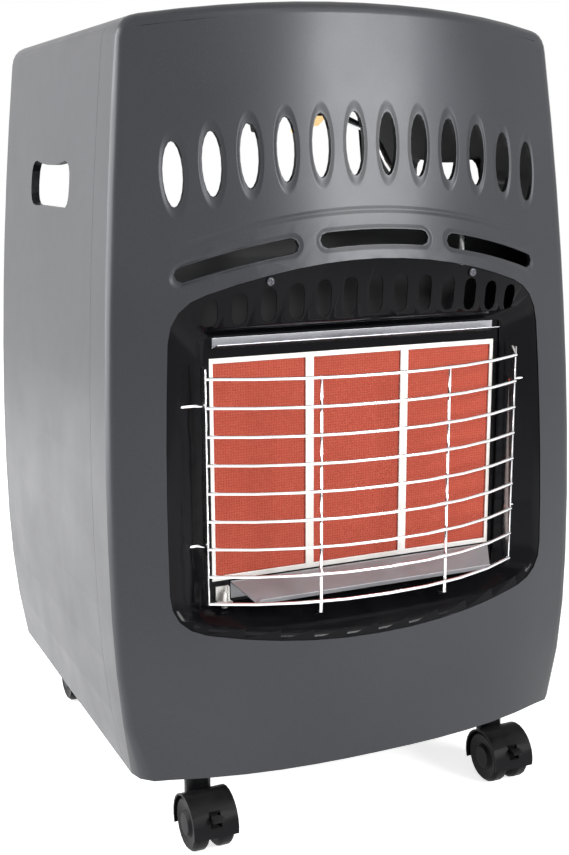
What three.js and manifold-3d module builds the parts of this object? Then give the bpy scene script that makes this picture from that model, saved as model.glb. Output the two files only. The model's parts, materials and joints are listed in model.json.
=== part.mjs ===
// Portable gas cabinet heater: a drawn steel front with a radiant burner behind a wire guard,
// a one-piece wrapper for the sides and top, an open bay for the gas cylinder at the back,
// and four twin-wheel casters. Millimetres, +Z up, the front faces -Y, the floor is z = 0
// and the origin is on the floor under the middle of the overall depth and width.

import * as THREE from 'three';
import { mergeVertices } from 'three/addons/utils/BufferGeometryUtils.js';
import Module from 'manifold-3d';

const wasm = await Module();
wasm.setup();

// ---------------------------------------------------------------- driving dimensions

const gap = 0.3; // between pieces that touch
const overallDepth = 449.8; // wire guard to rear edge

// cabinet body
const bodyBottomZ = 75;
const bodyCornerZ = 715; // where the side would meet the top without its rounding
const crownRise = 15.3; // arch of the top
const cornerRun = 17; // length of side and top taken up by the rounded top corner
const bottomHalfWidth = 218.4;
const widestHalfWidth = 233.7;
const topHalfWidth = 204.1;
const widestZ = 275;
const bellyLowPower = 2.6;
const bellyHighPower = 1.8;
const guardReach = 52.8; // wire guard to the front corner at the bottom
const bottomDepth = overallDepth - guardReach; // rear edge to that corner
const cornerLean = 36; // and the corner is set back this much at the top
const topDepth = bottomDepth - cornerLean;
const depthBulge = 5.5; // how far the front corner bulges between bottom and top
const frontBow = 39; // how far the front bows out past its corners, seen from above
const frontBowPower = 2.5;

// drawn front shell
const shellWall = 1.2;
const shellFillet = 10;
const bottomFillet = 27; // the fillet grows to this at the bottom corners
const filletRise = 95; // over this height
const flangeDepth = 40; // from the front corner back to the seam, at top and bottom
const flangeBulge = 9; // and this much more half way up
const visorProud = 7; // the visor over the opening stands out this far at its lower edge
const visorHalfWidth = 178;
const visorFade = 60; // and is back to nothing this far below it
const browZ = 561.5;
const browFall = 31.7; // and falls this much to the visor's ends
const shellLipDepth = 5; // rolled-in edge of the slots
const shellLipWall = 1.1;
const openingLipDepth = 9;

// upper row of lens-shaped slots
const slotCount = 12;
const slotPitch = 30.9;
const slotWidth = 17;
const slotHeight = 53;
const slotRowZ = 616;
const slotRowFall = 24.6; // outer slots sit this much lower

// three long slots over the opening
const longSlotHeight = 13;
const longSlotZ = 538.8;
const longSlotFall = 29.5; // at the outer ends
const longSlotMidHalf = 52;
const longSlotInnerX = 71;
const longSlotOuterX = 174;

// opening for the burner
const openingTopZ = 521;
const openingTopFall = 40.6; // at the full half width
const openingBottomZ = 188.5;
const openingBottomClimb = 24.7; // at the full half width
const openingHalfWidth = 188;
const openingWaistZ = 270;
const openingTaper = 12; // each side is this much narrower at the top corner
const openingCorner = 30;

// wrapper for the sides and top
const wrapperWall = 1;
const seamGap = 0.4;
const joggleDepth = 12; // lip that tucks under the front shell
const rearReturn = 11; // rear edge folded inward, less than the rounding of the top corners
const handHoleZ = 581;
const handHoleFromRear = 180; // rear edge to the middle of the hole
const handHoleLength = 138;
const handHoleHeight = 42;
const handHoleCorner = 18;
const handTabDrop = 4; // its top edge hangs this much lower in the middle
const handRimDepth = 8; // rolled-in edge of the hole
const controlCutHalf = 152;
const controlCutDepth = 92;

// base pan
const panWall = 1.2;
const panFlange = 16;
const panBottomZ = 76;
const panFrontGap = 1.5; // behind the front shell
const ventLength = 70;
const ventWidth = 8;
const ventRows = 3;
const ventPitch = 22;
const cylinderSeatRadius = 150;
const cylinderSeatRib = 3;

// heat shield between burner and gas cylinder
const shieldWall = 1;
const shieldTopZ = 545;
const shieldLipRun = 18;
const shieldLipSlope = 0.6;

// burner
const tileSetback = 64.3; // wire guard to the tiles' faces
const tileFaceFromRear = overallDepth - tileSetback;
const shieldBehindTiles = 63.5; // tiles' faces to the heat shield
const shieldFromRear = tileFaceFromRear - shieldBehindTiles;
const tileThickness = 14;
const tileWidth = 91;
const tileHeight = 194;
const tileBottomZ = 244;
const windowLap = 4.3; // the frame's windows are this much narrower than the tiles
const windowWidth = tileWidth - windowLap;
const windowHeight = 187.5;
const tileSpacing = 3.7;
const windowPitch = tileWidth + tileSpacing;
const frameWall = 1.5;
const frameMargin = 1.4; // past the outer tiles
const frameHalfWidth = windowPitch + tileWidth / 2 + frameMargin;
const frameFlange = 12;
const plenumDepth = 28;
const plenumChamfer = 6;
const plenumWall = 1.2;
const venturiRadius = 13;
const venturiLength = 16;
const venturiFlare = 7;
const mountPlateWall = 1.2;
const mountPlateMargin = 9.4; // past the burner frame
const mountPlateHalfWidth = frameHalfWidth + mountPlateMargin;
const mountPlateBottomZ = 219;
const mountPlateTopZ = 461;
const railRadius = 6;
const railOverhang = 20; // past the outer injectors
const injectorRadius = 3.5;

// bezel round the burner
const bezelWall = 1.2;
const bezelInset = 0.5; // clearance inside the shell's opening lip
const bezelRecess = 1; // behind the face of the shell
const bezelRimSide = 9;
const bezelBandBelow = 4; // the louvred band ends this far under its louvres
const bezelBandLean = 0.08;
const bezelRimDepth = 12;
const bezelSeatMargin = 5.4; // past the burner frame
const bezelSeatHalfWidth = frameHalfWidth + bezelSeatMargin;
const bezelSeatTopZ = 458;
const bezelSeatBottomZ = 222;
const bezelSeatSquareness = 0.8; // 1 gives the seat sharp corners
const louvreCount = 13;
const louvrePitch = 24.4;
const louvreWidth = 13;
const louvreTopZ = 507;
const louvreBottomZ = 474;
const louvreTopFall = 15.4; // at the outer louvres
const louvreBottomFall = 6.9;

// reflectors
const reflectorWall = 0.8;
const reflectorInset = 2.6; // inside the burner frame
const upperReflectorHalf = frameHalfWidth - reflectorInset;
const upperReflectorRun = 13;
const upperReflectorFold = 9;
const lowerReflectorRight = frameHalfWidth - reflectorInset;
const pilotRoom = 14; // the tray stops this far short of the pilot's side
const lowerReflectorLeft = lowerReflectorRight - pilotRoom;
const lowerReflectorRun = 30;
const lowerReflectorFall = 13; // from the frame to its front fold
const lowerReflectorBack = 16; // upright strip against the housing
const lowerReflectorLip = 4;
const lowerReflectorTrim = 16; // cut back at both front corners

// wire guard
const wireRadius = 1.5;
const guardWires = 9;
const guardPitch = 24.4;
const guardBottomZ = 231;
const guardMargin = 11.9; // past the burner frame
const guardHalfWidth = frameHalfWidth + guardMargin;
const guardBowPower = 2.2;
const guardBarDepth = 10;
const guardBarWall = 1.5;
const guardUprightX = 62;
const guardCross = wireRadius * 1.4; // the uprights lie this far behind the wires' middles
const guardStandoff = 21; // burner frame to the guard's ends
const guardHook = 11; // uprights run this far below the lowest wire, then hook back as far
const pegBack = 13.4; // the pegs sit this far behind the ends of the wires
const pegLength = 21;

// controls and gas path
const controlPanelHalf = 150;
const controlPanelWall = 1.5;
const controlSlopeTopDrop = 20;
const controlSlopeBottomDrop = 54;
const controlLip = 11;
const controlTopLip = 6; // tucked under the top of the wrapper
const knobX = 105;
const knobRadius = 21;
const knobHeight = 19;
const knobSkirt = 5.5;
const knobShaftRadius = 4;
const igniterX = 40;
const buttonRadius = 8;
const buttonHeight = 7;
const buttonTravel = 4;
const igniterLength = 46;
const igniterRadius = 11;
const controlStep = 1; // the panel's front wall leans back by this much
const controlRearInset = 14; // slope ends this far inside the rear edge
const knobShaftLength = 10;
const knobGripHalf = 6;
const valveRadius = 13;
const valveCollarRadius = 9;
const valveCollar = 8;
const valveLength = 40;
const valveBlock = 18; // square foot of the valve
const inletRadius = 4.5;
const inletNut = 8;
const inletLength = 30;
const tubeSideX = 168; // the gas tube passes the cylinder this far out
const tubeRadius = 4;
const tubeBend = 20;
const pilotFromSide = 8.6; // pilot's middle inside the burner frame's edge
const pilotHalf = 6;
const pilotRun = 11;
const pilotRadius = 2.6;
const pilotHeight = 14;
const electrodeRadius = 1.1;
const tiltFromSide = 28.4; // tilt switch to the edge of the base
const tiltFlange = 16;
const tiltHalf = 12;
const tiltHeight = 30;
const tiltCapRadius = 5;

// casters
const wheelRadius = 25;
const wheelWidth = 16;
const wheelBore = 3.3;
const webWidth = 8;
const wheelSideGap = 0.5;
const axleRadius = 3;
const hoodRadius = 27.4;
const hoodWall = 1.8;
const hoodHalfWidth = 21.2;
const casterTrail = 20; // kingpin to axle
const bossRadius = 12;
const hoodTopZ = 63;
const kingpinRadius = 4.5;
const kingpinBoreRadius = 4.9;
const kingpinLength = 25;
const casterPlate = 40;
const casterPlateWall = 2;
const frontCasterX = 156;
const frontCasterSetback = 70.8; // wire guard to the front kingpins
const frontCasterFromRear = overallDepth - frontCasterSetback;
const rearCasterX = 166;
const rearCasterFromRear = 54;
const brakeWidth = 10;
const brakeTab = 6; // reach of the lever past the hood
const brakePivotRadius = 21;
const brakePivotAngle = 146; // about the axle, from the kingpin's side over the top
const brakeKnuckle = 3.2;
const hoodFromAngle = -22;
const hoodToAngle = 190;
const wheelCap = 2; // closed end of the wheel's bore

// ---------------------------------------------------------------- finishes

const finishes = {
  graphite: new THREE.MeshStandardMaterial({ color: 0x4a4b50, roughness: 0.38, metalness: 0.25 }),
  blackGloss: new THREE.MeshStandardMaterial({ color: 0x0d0d10, roughness: 0.15, metalness: 0.1 }),
  blackPlastic: new THREE.MeshStandardMaterial({ color: 0x1c1c20, roughness: 0.5, metalness: 0 }),
  chrome: new THREE.MeshStandardMaterial({ color: 0xd8dade, roughness: 0.12, metalness: 1 }),
  steel: new THREE.MeshStandardMaterial({ color: 0xb4b6ba, roughness: 0.35, metalness: 0.9 }),
  ceramic: new THREE.MeshStandardMaterial({ color: 0xc8553c, roughness: 0.9, metalness: 0 }),
  brass: new THREE.MeshStandardMaterial({ color: 0xc19a4b, roughness: 0.3, metalness: 1 }),
  redPlastic: new THREE.MeshStandardMaterial({ color: 0xb02a1e, roughness: 0.35, metalness: 0 }),
};

// ---------------------------------------------------------------- solid helpers

const v3 = (x, y, z) => new THREE.Vector3(x, y, z);
const lerp = THREE.MathUtils.lerp;
const clamp = THREE.MathUtils.clamp;

// A closed geometry as a solid for joining and cutting.
function solid(geometry) {
  const bare = geometry.clone();
  bare.deleteAttribute('normal');
  bare.deleteAttribute('uv');
  const merged = mergeVertices(bare, 1e-4);
  const mesh = new wasm.Mesh({
    numProp: 3,
    vertProperties: new Float32Array(merged.attributes.position.array),
    triVerts: new Uint32Array(merged.index.array),
  });
  return new wasm.Manifold(mesh);
}

function geometryOf(body) {
  const mesh = body.getMesh();
  const geometry = new THREE.BufferGeometry();
  geometry.setAttribute('position', new THREE.BufferAttribute(new Float32Array(mesh.vertProperties), 3));
  geometry.setIndex(new THREE.BufferAttribute(new Uint32Array(mesh.triVerts), 1));
  geometry.computeVertexNormals();
  return geometry;
}

const join = (bodies) => bodies.reduce((sum, body) => sum.add(body));
const cut = (body, tools) => tools.reduce((rest, tool) => rest.subtract(tool), body);

// Triangles and points as a geometry whose faces point outwards.
function outwardGeometry(points, triangles) {
  let volume = 0;
  for (const [a, b, c] of triangles) {
    volume += points[a].dot(v3(0, 0, 0).crossVectors(points[b], points[c]));
  }
  const order = volume < 0 ? ([a, b, c]) => [a, c, b] : (triangle) => triangle;
  const geometry = new THREE.BufferGeometry().setFromPoints(points);
  geometry.setIndex(triangles.flatMap(order));
  return geometry;
}

// Sheet metal from patches: each patch is a grid of [face, back] point pairs. Patches that
// share an edge join along it, and every open edge gets a wall.
function sheetSolid(patches) {
  const faces = [];
  const backs = [];
  const triangles = [];
  const known = new Map();
  const indexOf = ([face, back]) => {
    const key = face.toArray().map((value) => value.toFixed(3)).join();
    if (!known.has(key)) {
      known.set(key, faces.length);
      faces.push(face);
      backs.push(back);
    }
    return known.get(key);
  };
  for (const grid of patches) {
    const ids = grid.map((row) => row.map(indexOf));
    for (let r = 0; r + 1 < ids.length; r += 1) {
      for (let c = 0; c + 1 < ids[r].length; c += 1) {
        const [a, b, d, e] = [ids[r][c], ids[r][c + 1], ids[r + 1][c + 1], ids[r + 1][c]];
        triangles.push([a, b, d], [a, d, e]);
      }
    }
  }
  const skin = triangles.filter(([a, b, c]) => a !== b && b !== c && c !== a);
  const openEdges = new Map();
  for (const [a, b, c] of skin) {
    for (const [from, to] of [[a, b], [b, c], [c, a]]) {
      if (!openEdges.delete(`${to},${from}`)) openEdges.set(`${from},${to}`, [from, to]);
    }
  }
  const count = faces.length;
  const all = [...skin];
  for (const [a, b, c] of skin) all.push([a + count, c + count, b + count]);
  for (const [from, to] of openEdges.values()) {
    all.push([to, from, from + count], [to, from + count, to + count]);
  }
  return solid(outwardGeometry([...faces, ...backs], all));
}

// A solid through closed rings of equal count; the ends are capped unless the rings close up.
function ringsSolid(rings, closed = false) {
  const count = rings[0].length;
  const points = rings.flat();
  const triangles = [];
  const spans = closed ? rings.length : rings.length - 1;
  for (let r = 0; r < spans; r += 1) {
    for (let c = 0; c < count; c += 1) {
      const here = r * count;
      const next = ((r + 1) % rings.length) * count;
      const right = (c + 1) % count;
      triangles.push([here + c, here + right, next + right], [here + c, next + right, next + c]);
    }
  }
  if (!closed) {
    for (const [start, flip] of [[0, true], [(rings.length - 1) * count, false]]) {
      for (const [a, b, c] of capTriangles(points.slice(start, start + count))) {
        triangles.push(flip ? [start + a, start + c, start + b] : [start + a, start + b, start + c]);
      }
    }
  }
  return solid(outwardGeometry(points, triangles));
}

// Triangles of a flat ring, in the ring's own turning direction.
function capTriangles(ring) {
  const normal = v3(0, 0, 0);
  ring.forEach((point, i) => {
    const next = ring[(i + 1) % ring.length];
    normal.add(v3(0, 0, 0).crossVectors(point, next));
  });
  const across = v3(0, 0, 0).subVectors(ring[1], ring[0]).normalize();
  const up = v3(0, 0, 0).crossVectors(normal.normalize(), across);
  const flat = ring.map((point) => new THREE.Vector2(point.dot(across), point.dot(up)));
  return THREE.ShapeUtils.triangulateShape(flat, []);
}

// A shape drawn in X and Z, from one depth in Y to another.
function prismY(points, fromY, toY) {
  const shape = new THREE.Shape(points.map(([x, z]) => new THREE.Vector2(x, z)));
  const geometry = new THREE.ExtrudeGeometry(shape, { depth: toY - fromY, bevelEnabled: false });
  const turn = new THREE.Matrix4().makeBasis(v3(1, 0, 0), v3(0, 0, 1), v3(0, -1, 0));
  return solid(geometry.applyMatrix4(turn).translate(0, toY, 0));
}

// A shape drawn in Y and Z, from one X to another.
function prismX(points, fromX, toX) {
  const shape = new THREE.Shape(points.map(([y, z]) => new THREE.Vector2(y, z)));
  const geometry = new THREE.ExtrudeGeometry(shape, { depth: toX - fromX, bevelEnabled: false });
  const turn = new THREE.Matrix4().makeBasis(v3(0, 1, 0), v3(0, 0, 1), v3(1, 0, 0));
  return solid(geometry.applyMatrix4(turn).translate(fromX, 0, 0));
}

// A shape drawn in X and Y, from one height to another.
function prismZ(points, fromZ, toZ) {
  const shape = new THREE.Shape(points.map(([x, y]) => new THREE.Vector2(x, y)));
  const geometry = new THREE.ExtrudeGeometry(shape, { depth: toZ - fromZ, bevelEnabled: false });
  return solid(geometry.translate(0, 0, fromZ));
}

function box(minX, maxX, minY, maxY, minZ, maxZ) {
  const geometry = new THREE.BoxGeometry(maxX - minX, maxY - minY, maxZ - minZ);
  return solid(geometry.translate((minX + maxX) / 2, (minY + maxY) / 2, (minZ + maxZ) / 2));
}

// A round bar from one point to another.
function bar(from, to, radius, sides = 12) {
  const along = v3(0, 0, 0).subVectors(to, from);
  const geometry = new THREE.CylinderGeometry(radius, radius, along.length(), sides);
  geometry.applyQuaternion(new THREE.Quaternion().setFromUnitVectors(v3(0, 1, 0), along.clone().normalize()));
  return solid(geometry.translate(...v3(0, 0, 0).addVectors(from, to).multiplyScalar(0.5).toArray()));
}

// A wire or tube along a curve; turn is how far its section is turned, in sides.
function tube(curve, radius, steps, sides = 8, turn = 0) {
  const section = new THREE.Shape(Array.from({ length: sides }, (_, i) => {
    const angle = (Math.PI * 2 * (i + turn)) / sides;
    return new THREE.Vector2(radius * Math.cos(angle), radius * Math.sin(angle));
  }));
  return solid(new THREE.ExtrudeGeometry(section, { steps, extrudePath: curve, bevelEnabled: false }));
}

const polyline = (points) => new THREE.CatmullRomCurve3(points, false, 'catmullrom', 0.5);

// A revolved piece about +Z from [radius, height] pairs, which start and end on the axis or
// at the same place.
function revolve(profile, segments = 24) {
  const points = profile.map(([r, h]) => new THREE.Vector2(r, h));
  if (THREE.ShapeUtils.isClockWise(points)) points.reverse();
  return solid(new THREE.LatheGeometry(points, segments).rotateX(Math.PI / 2));
}

// The rounded passage between two edges that would meet at a corner.
function softCorner(before, corner, after, steps) {
  const toVector = ([x, z]) => new THREE.Vector2(x, z);
  const curve = new THREE.QuadraticBezierCurve(toVector(before), toVector(corner), toVector(after));
  return curve.getPoints(steps).map((point) => [point.x, point.y]);
}

// A slot with round ends, in the plane it is drawn in.
function roundSlot(centreA, centreB, length, height, steps = 6) {
  const radius = height / 2;
  const reach = length / 2 - radius;
  const end = (side, start) => Array.from({ length: steps + 1 }, (_, i) => {
    const angle = start + (Math.PI * i) / steps;
    return [centreA + side * reach + radius * Math.cos(angle), centreB + radius * Math.sin(angle)];
  });
  return [...end(1, -Math.PI / 2), ...end(-1, Math.PI / 2)];
}

const ordered = (a, b) => [Math.min(a, b), Math.max(a, b)];
const mirrored = (points) => points.map(([a, b]) => [-a, b]).reverse();

// ---------------------------------------------------------------- form of the cabinet

const back = overallDepth / 2;
const fromRear = (distance) => back - distance;
const rise = (z) => (z - bodyBottomZ) / (bodyCornerZ - bodyBottomZ);
const bulge = (z) => 4 * rise(z) * (1 - rise(z));

function halfWidth(z) {
  if (z < widestZ) {
    const down = (widestZ - z) / (widestZ - bodyBottomZ);
    return widestHalfWidth - (widestHalfWidth - bottomHalfWidth) * down ** bellyLowPower;
  }
  const up = (z - widestZ) / (bodyCornerZ - widestZ);
  return widestHalfWidth - (widestHalfWidth - topHalfWidth) * up ** bellyHighPower;
}

// Radius between the front face and the flange, at a height.
function filletAt(z) {
  const low = clamp(1 - (z - bodyBottomZ) / filletRise, 0, 1);
  return lerp(shellFillet, bottomFillet, low * low);
}

const cornerY = (z) => fromRear(lerp(bottomDepth, topDepth, rise(z)) + depthBulge * bulge(z));
const seamY = (z) => cornerY(z) + flangeDepth + flangeBulge * bulge(z);
const crownZ = (x) => bodyCornerZ + crownRise * (1 - (x / topHalfWidth) ** 2);

// An arched line: how far it has fallen at x, when it falls this much out to its reach.
const arched = (fall, reach) => (x) => fall * (x / reach) ** 2;
const slotRowHalf = ((slotCount - 1) / 2) * slotPitch;
const louvreRowHalf = ((louvreCount - 1) / 2) * louvrePitch;
const slotRowFallAt = arched(slotRowFall, slotRowHalf);
const longSlotFallAt = arched(longSlotFall, longSlotOuterX);
const openingTopFallAt = arched(openingTopFall, openingHalfWidth);
const openingClimbAt = arched(openingBottomClimb, openingHalfWidth);
const browFallAt = arched(browFall, visorHalfWidth);
const louvreTopFallAt = arched(louvreTopFall, louvreRowHalf);
const louvreBottomFallAt = arched(louvreBottomFall, louvreRowHalf);
const openingTop = (x) => openingTopZ - openingTopFallAt(x);
const openingBottom = (x) => openingBottomZ + openingClimbAt(x);
const browLine = (x) => browZ - browFallAt(x);

// The visor grows from nothing at the brow line to its full reach at the opening's top edge.
function visor(x, z) {
  const below = browLine(x) - z;
  if (below <= 0 || Math.abs(x) >= visorHalfWidth) return 0;
  const height = browZ - openingTopZ;
  const side = 1 - (x / visorHalfWidth) ** 4;
  const fade = 1 - clamp((below - height) / visorFade, 0, 1);
  return visorProud * clamp(below / height, 0, 1) * side * fade;
}

function frontY(x, z) {
  const across = Math.min(Math.abs(x) / halfWidth(z), 1);
  return cornerY(z) - frontBow * (1 - across ** frontBowPower) - visor(x, z);
}

// Lines across the front, bent like the features they pass: each has its height at the side,
// how far its middle stands above that, and the number of rows below it.
const faceHalf = halfWidth(openingTopZ) - shellFillet;
const openingTopSide = openingTop(faceHalf);
const browSide = browLine(faceHalf);
const slotRowSide = slotRowZ - slotRowFallAt(faceHalf);
const openingBottomSide = openingBottom(faceHalf);
const frontLines = [
  { z: bodyBottomZ, arch: 0, rows: 0 },
  { z: openingBottomSide, arch: openingBottomZ - openingBottomSide, rows: 3 },
  { z: (openingBottomSide + openingTopSide) / 2, arch: 0, rows: 2 },
  { z: openingTopSide, arch: openingTopZ - openingTopSide, rows: 2 },
  { z: browSide, arch: browZ - browSide, rows: 1 },
  { z: slotRowSide, arch: slotRowZ - slotRowSide, rows: 1 },
  { z: bodyCornerZ - cornerRun, arch: crownRise * 1.2, rows: 2 },
];
const topColumns = 12;
const cornerSteps = 5;

const sideHeights = frontLines.flatMap((line, i) => Array.from({ length: line.rows }, (_, k) => (
  lerp(frontLines[i - 1].z, line.z, (k + 1) / line.rows))));
sideHeights.unshift(bodyBottomZ);

// The cabinet's outline seen from the front, from the bottom left corner over the top to the
// bottom right one, with the outward direction at each point.
const cornerTopX = topHalfWidth - cornerRun;
const leftEdge = sideHeights.map((z) => [-halfWidth(z), z]);
const sideEnd = leftEdge[leftEdge.length - 1];
const leftCorner = softCorner(
  sideEnd, [-topHalfWidth, bodyCornerZ], [-cornerTopX, crownZ(cornerTopX)], cornerSteps).slice(1);
const topEdge = Array.from({ length: topColumns - 1 }, (_, i) => {
  const x = lerp(-cornerTopX, cornerTopX, (i + 1) / topColumns);
  return [x, crownZ(x)];
});
const leftHalf = [...leftEdge, ...leftCorner];
const outline = withNormals([...leftHalf, ...topEdge, ...mirrored(leftHalf)]);
const topStart = leftHalf.length - 1;

function withNormals(points) {
  return points.map(([x, z], i) => {
    const [ax, az] = points[Math.max(i - 1, 0)];
    const [bx, bz] = points[Math.min(i + 1, points.length - 1)];
    const end = i === 0 || i === points.length - 1;
    const normal = end ? new THREE.Vector2(Math.sign(x), 0) : new THREE.Vector2(az - bz, bx - ax);
    normal.normalize();
    return { x, z, nx: normal.x, nz: normal.y };
  });
}

const inset = (point, depth) => [point.x - point.nx * depth, point.z - point.nz * depth];

// How far the line through a height at the side is bent up in its middle.
function archAt(z, topZ, topArch) {
  const lines = [...frontLines, { z: topZ, arch: topArch }];
  const i = Math.max(1, lines.findIndex((line) => line.z >= z - 1e-6));
  const [low, high] = [lines[i - 1], lines[i]];
  return lerp(low.arch, high.arch, (z - low.z) / (high.z - low.z));
}

// ---------------------------------------------------------------- front shell

// Points of the front face as a grid, inside the fillet, from one depth behind it to another.
function frontGrid(toDepth, fromDepth = 0) {
  const border = outline.map((point) => inset(point, filletAt(point.z)));
  const top = border.slice(topStart, topStart + topColumns + 1);
  const [endX, endZ] = top[0];
  const topArch = top[topColumns / 2][1] - endZ;
  const rows = [];
  for (let r = 0; r < topStart; r += 1) {
    const [edgeX, edgeZ] = border[r];
    const arch = archAt(edgeZ, endZ, topArch);
    rows.push(top.map(([x]) => [edgeX * (x / endX), edgeZ + arch * (1 - (x / endX) ** 2)]));
  }
  rows.push(top);
  return rows.map((row) => row.map(([x, z]) => {
    const y = frontY(x, z);
    return [v3(x, y + fromDepth, z), v3(x, y + toDepth, z)];
  }));
}

// The fillet and the flange that runs back from it round both sides and the top.
function flangeGrid(wall) {
  const filletSteps = 3;
  const rows = [];
  for (let k = 0; k <= filletSteps; k += 1) {
    const angle = (Math.PI / 2) * (1 - k / filletSteps);
    rows.push(outline.map((point) => {
      const fillet = filletAt(point.z);
      const [x, z] = inset(point, fillet);
      const centreY = frontY(x, z) + fillet;
      return [fillet, fillet - wall].map((radius) => v3(
        x + point.nx * radius * Math.cos(angle),
        centreY - radius * Math.sin(angle),
        z + point.nz * radius * Math.cos(angle)));
    }));
  }
  rows.push(outline.map((point) => [0, wall].map((depth) => {
    const [x, z] = inset(point, depth);
    return v3(x, seamY(point.z), z);
  })));
  return rows;
}

const frontReach = [fromRear(overallDepth + 20), fromRear(bottomDepth - 30)];

// A lens-shaped outline, as wide and high as asked.
function lens(x, z, width, height) {
  const steps = 18;
  return Array.from({ length: steps }, (_, i) => {
    const angle = (Math.PI * 2 * (i + 0.5)) / steps;
    return [x + (width / 2) * Math.cos(angle), z + (height / 2) * Math.sin(angle)];
  });
}

// One of the long slots, bent along its arch between two places across the front.
function archedSlot(fromX, toX, height) {
  const steps = 6;
  const radius = height / 2;
  const centre = (x) => longSlotZ - longSlotFallAt(x);
  const [startX, endX] = [fromX + radius, toX - radius];
  const edge = (side) => Array.from({ length: steps + 1 }, (_, i) => {
    const x = lerp(startX, endX, i / steps);
    return [x, centre(x) + side * radius];
  });
  const cap = (x, start) => [0.25, 0.5, 0.75].map((share) => {
    const angle = start + Math.PI * share;
    return [x + radius * Math.cos(angle), centre(x) + radius * Math.sin(angle)];
  });
  return [...edge(-1), ...cap(endX, -Math.PI / 2), ...edge(1).reverse(), ...cap(startX, Math.PI / 2)];
}

// The burner opening, anticlockwise seen from the front.
const openingSideX = (z) => (
  openingHalfWidth - openingTaper * (Math.max(z - openingWaistZ, 0) / (openingTopZ - openingWaistZ)) ** 2);

function openingOutline() {
  const cornerZ = [openingBottom(openingHalfWidth), openingTop(openingSideX(openingTopZ))];
  const cornerX = [openingHalfWidth, openingSideX(cornerZ[1])];
  const lowX = cornerX[0] - openingCorner;
  const highX = cornerX[1] - openingCorner;
  const lowZ = cornerZ[0] + openingCorner;
  const highZ = cornerZ[1] - openingCorner;
  const across = (from, to, steps, height) => Array.from({ length: steps - 1 }, (_, i) => {
    const x = lerp(from, to, (i + 1) / steps);
    return [x, height(x)];
  });
  const lowCorner = softCorner(
    [lowX, openingBottom(lowX)], [cornerX[0], cornerZ[0]], [openingSideX(lowZ), lowZ], 4);
  const highCorner = softCorner(
    [openingSideX(highZ), highZ], [cornerX[1], cornerZ[1]], [highX, openingTop(highX)], 4);
  const side = Array.from({ length: 4 }, (_, i) => {
    const z = lerp(lowZ, highZ, (i + 1) / 5);
    return [openingSideX(z), z];
  });
  const rightHalf = [...lowCorner, ...side, ...highCorner];
  return [
    ...across(-lowX, lowX, 10, openingBottom), ...rightHalf,
    ...across(highX, -highX, 12, openingTop), ...mirrored(rightHalf),
  ];
}

// The same outline moved inwards or, with a negative depth, outwards.
function offsetLoop(points, depth) {
  return points.map(([x, z], i) => {
    const [ax, az] = points[(i + points.length - 1) % points.length];
    const [bx, bz] = points[(i + 1) % points.length];
    const inward = new THREE.Vector2(az - bz, bx - ax).normalize();
    return [x + inward.x * depth, z + inward.y * depth];
  });
}

const opening = openingOutline();

function makeFrontShell() {
  const shell = sheetSolid([frontGrid(shellWall), flangeGrid(shellWall)]);
  const slots = Array.from({ length: slotCount }, (_, i) => {
    const x = (i - (slotCount - 1) / 2) * slotPitch;
    return [x, slotRowZ - slotRowFallAt(x)];
  });
  const longSlots = [
    [-longSlotOuterX, -longSlotInnerX], [-longSlotMidHalf, longSlotMidHalf], [longSlotInnerX, longSlotOuterX],
  ];
  const outlines = (grow) => [
    ...slots.map(([x, z]) => lens(x, z, slotWidth + 2 * grow, slotHeight + 2 * grow)),
    ...longSlots.map(([from, to]) => archedSlot(from - grow, to + grow, longSlotHeight + 2 * grow)),
  ];
  const rolled = outlines(shellLipWall).map((points) => behindFace(points, shellLipDepth));
  const openingRoll = behindFace(offsetLoop(opening, -shellWall), openingLipDepth);
  const holes = [...outlines(0), opening].map((points) => prismY(points, ...frontReach));
  return cut(join([shell, ...rolled, openingRoll]), holes);
}

// A block with this outline that starts inside the sheet and ends the given depth behind its face.
function behindFace(points, depth) {
  const ring = (y) => points.map(([x, z]) => v3(x, frontY(x, z) + y, z));
  return ringsSolid([ring(shellWall / 2), ring(depth)]);
}

// ---------------------------------------------------------------- wrapper and base pan

const tuck = shellWall + gap;

// Half the outside width at a height, along the wrapper's own facets.
function wallX(z) {
  const i = Math.max(1, leftEdge.findIndex((point) => point[1] >= z));
  const [[lowX, lowZ], [highX, highZ]] = [leftEdge[i - 1], leftEdge[i]];
  return -lerp(lowX, highX, (z - lowZ) / (highZ - lowZ));
}

// The hand hole in Y and Z: round corners, and a top edge that hangs lower in its middle.
function handHoleOutline() {
  const [endY, endZ] = [handHoleLength / 2, handHoleHeight / 2];
  const [flatY, flatZ] = [endY - handHoleCorner, endZ - handHoleCorner];
  const rightHalf = [
    ...softCorner([flatY, -endZ], [endY, -endZ], [endY, -flatZ], 4),
    ...softCorner([endY, flatZ], [endY, endZ], [flatY, endZ], 4),
  ];
  const topEdge = [0.6, 0.2, -0.2, -0.6].map((share) => (
    [share * flatY, endZ - handTabDrop * (1 - share ** 2)]));
  const middleY = fromRear(handHoleFromRear);
  return [...rightHalf, ...topEdge, ...mirrored(rightHalf)].map(([y, z]) => (
    [middleY + y, handHoleZ + z]));
}

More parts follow.
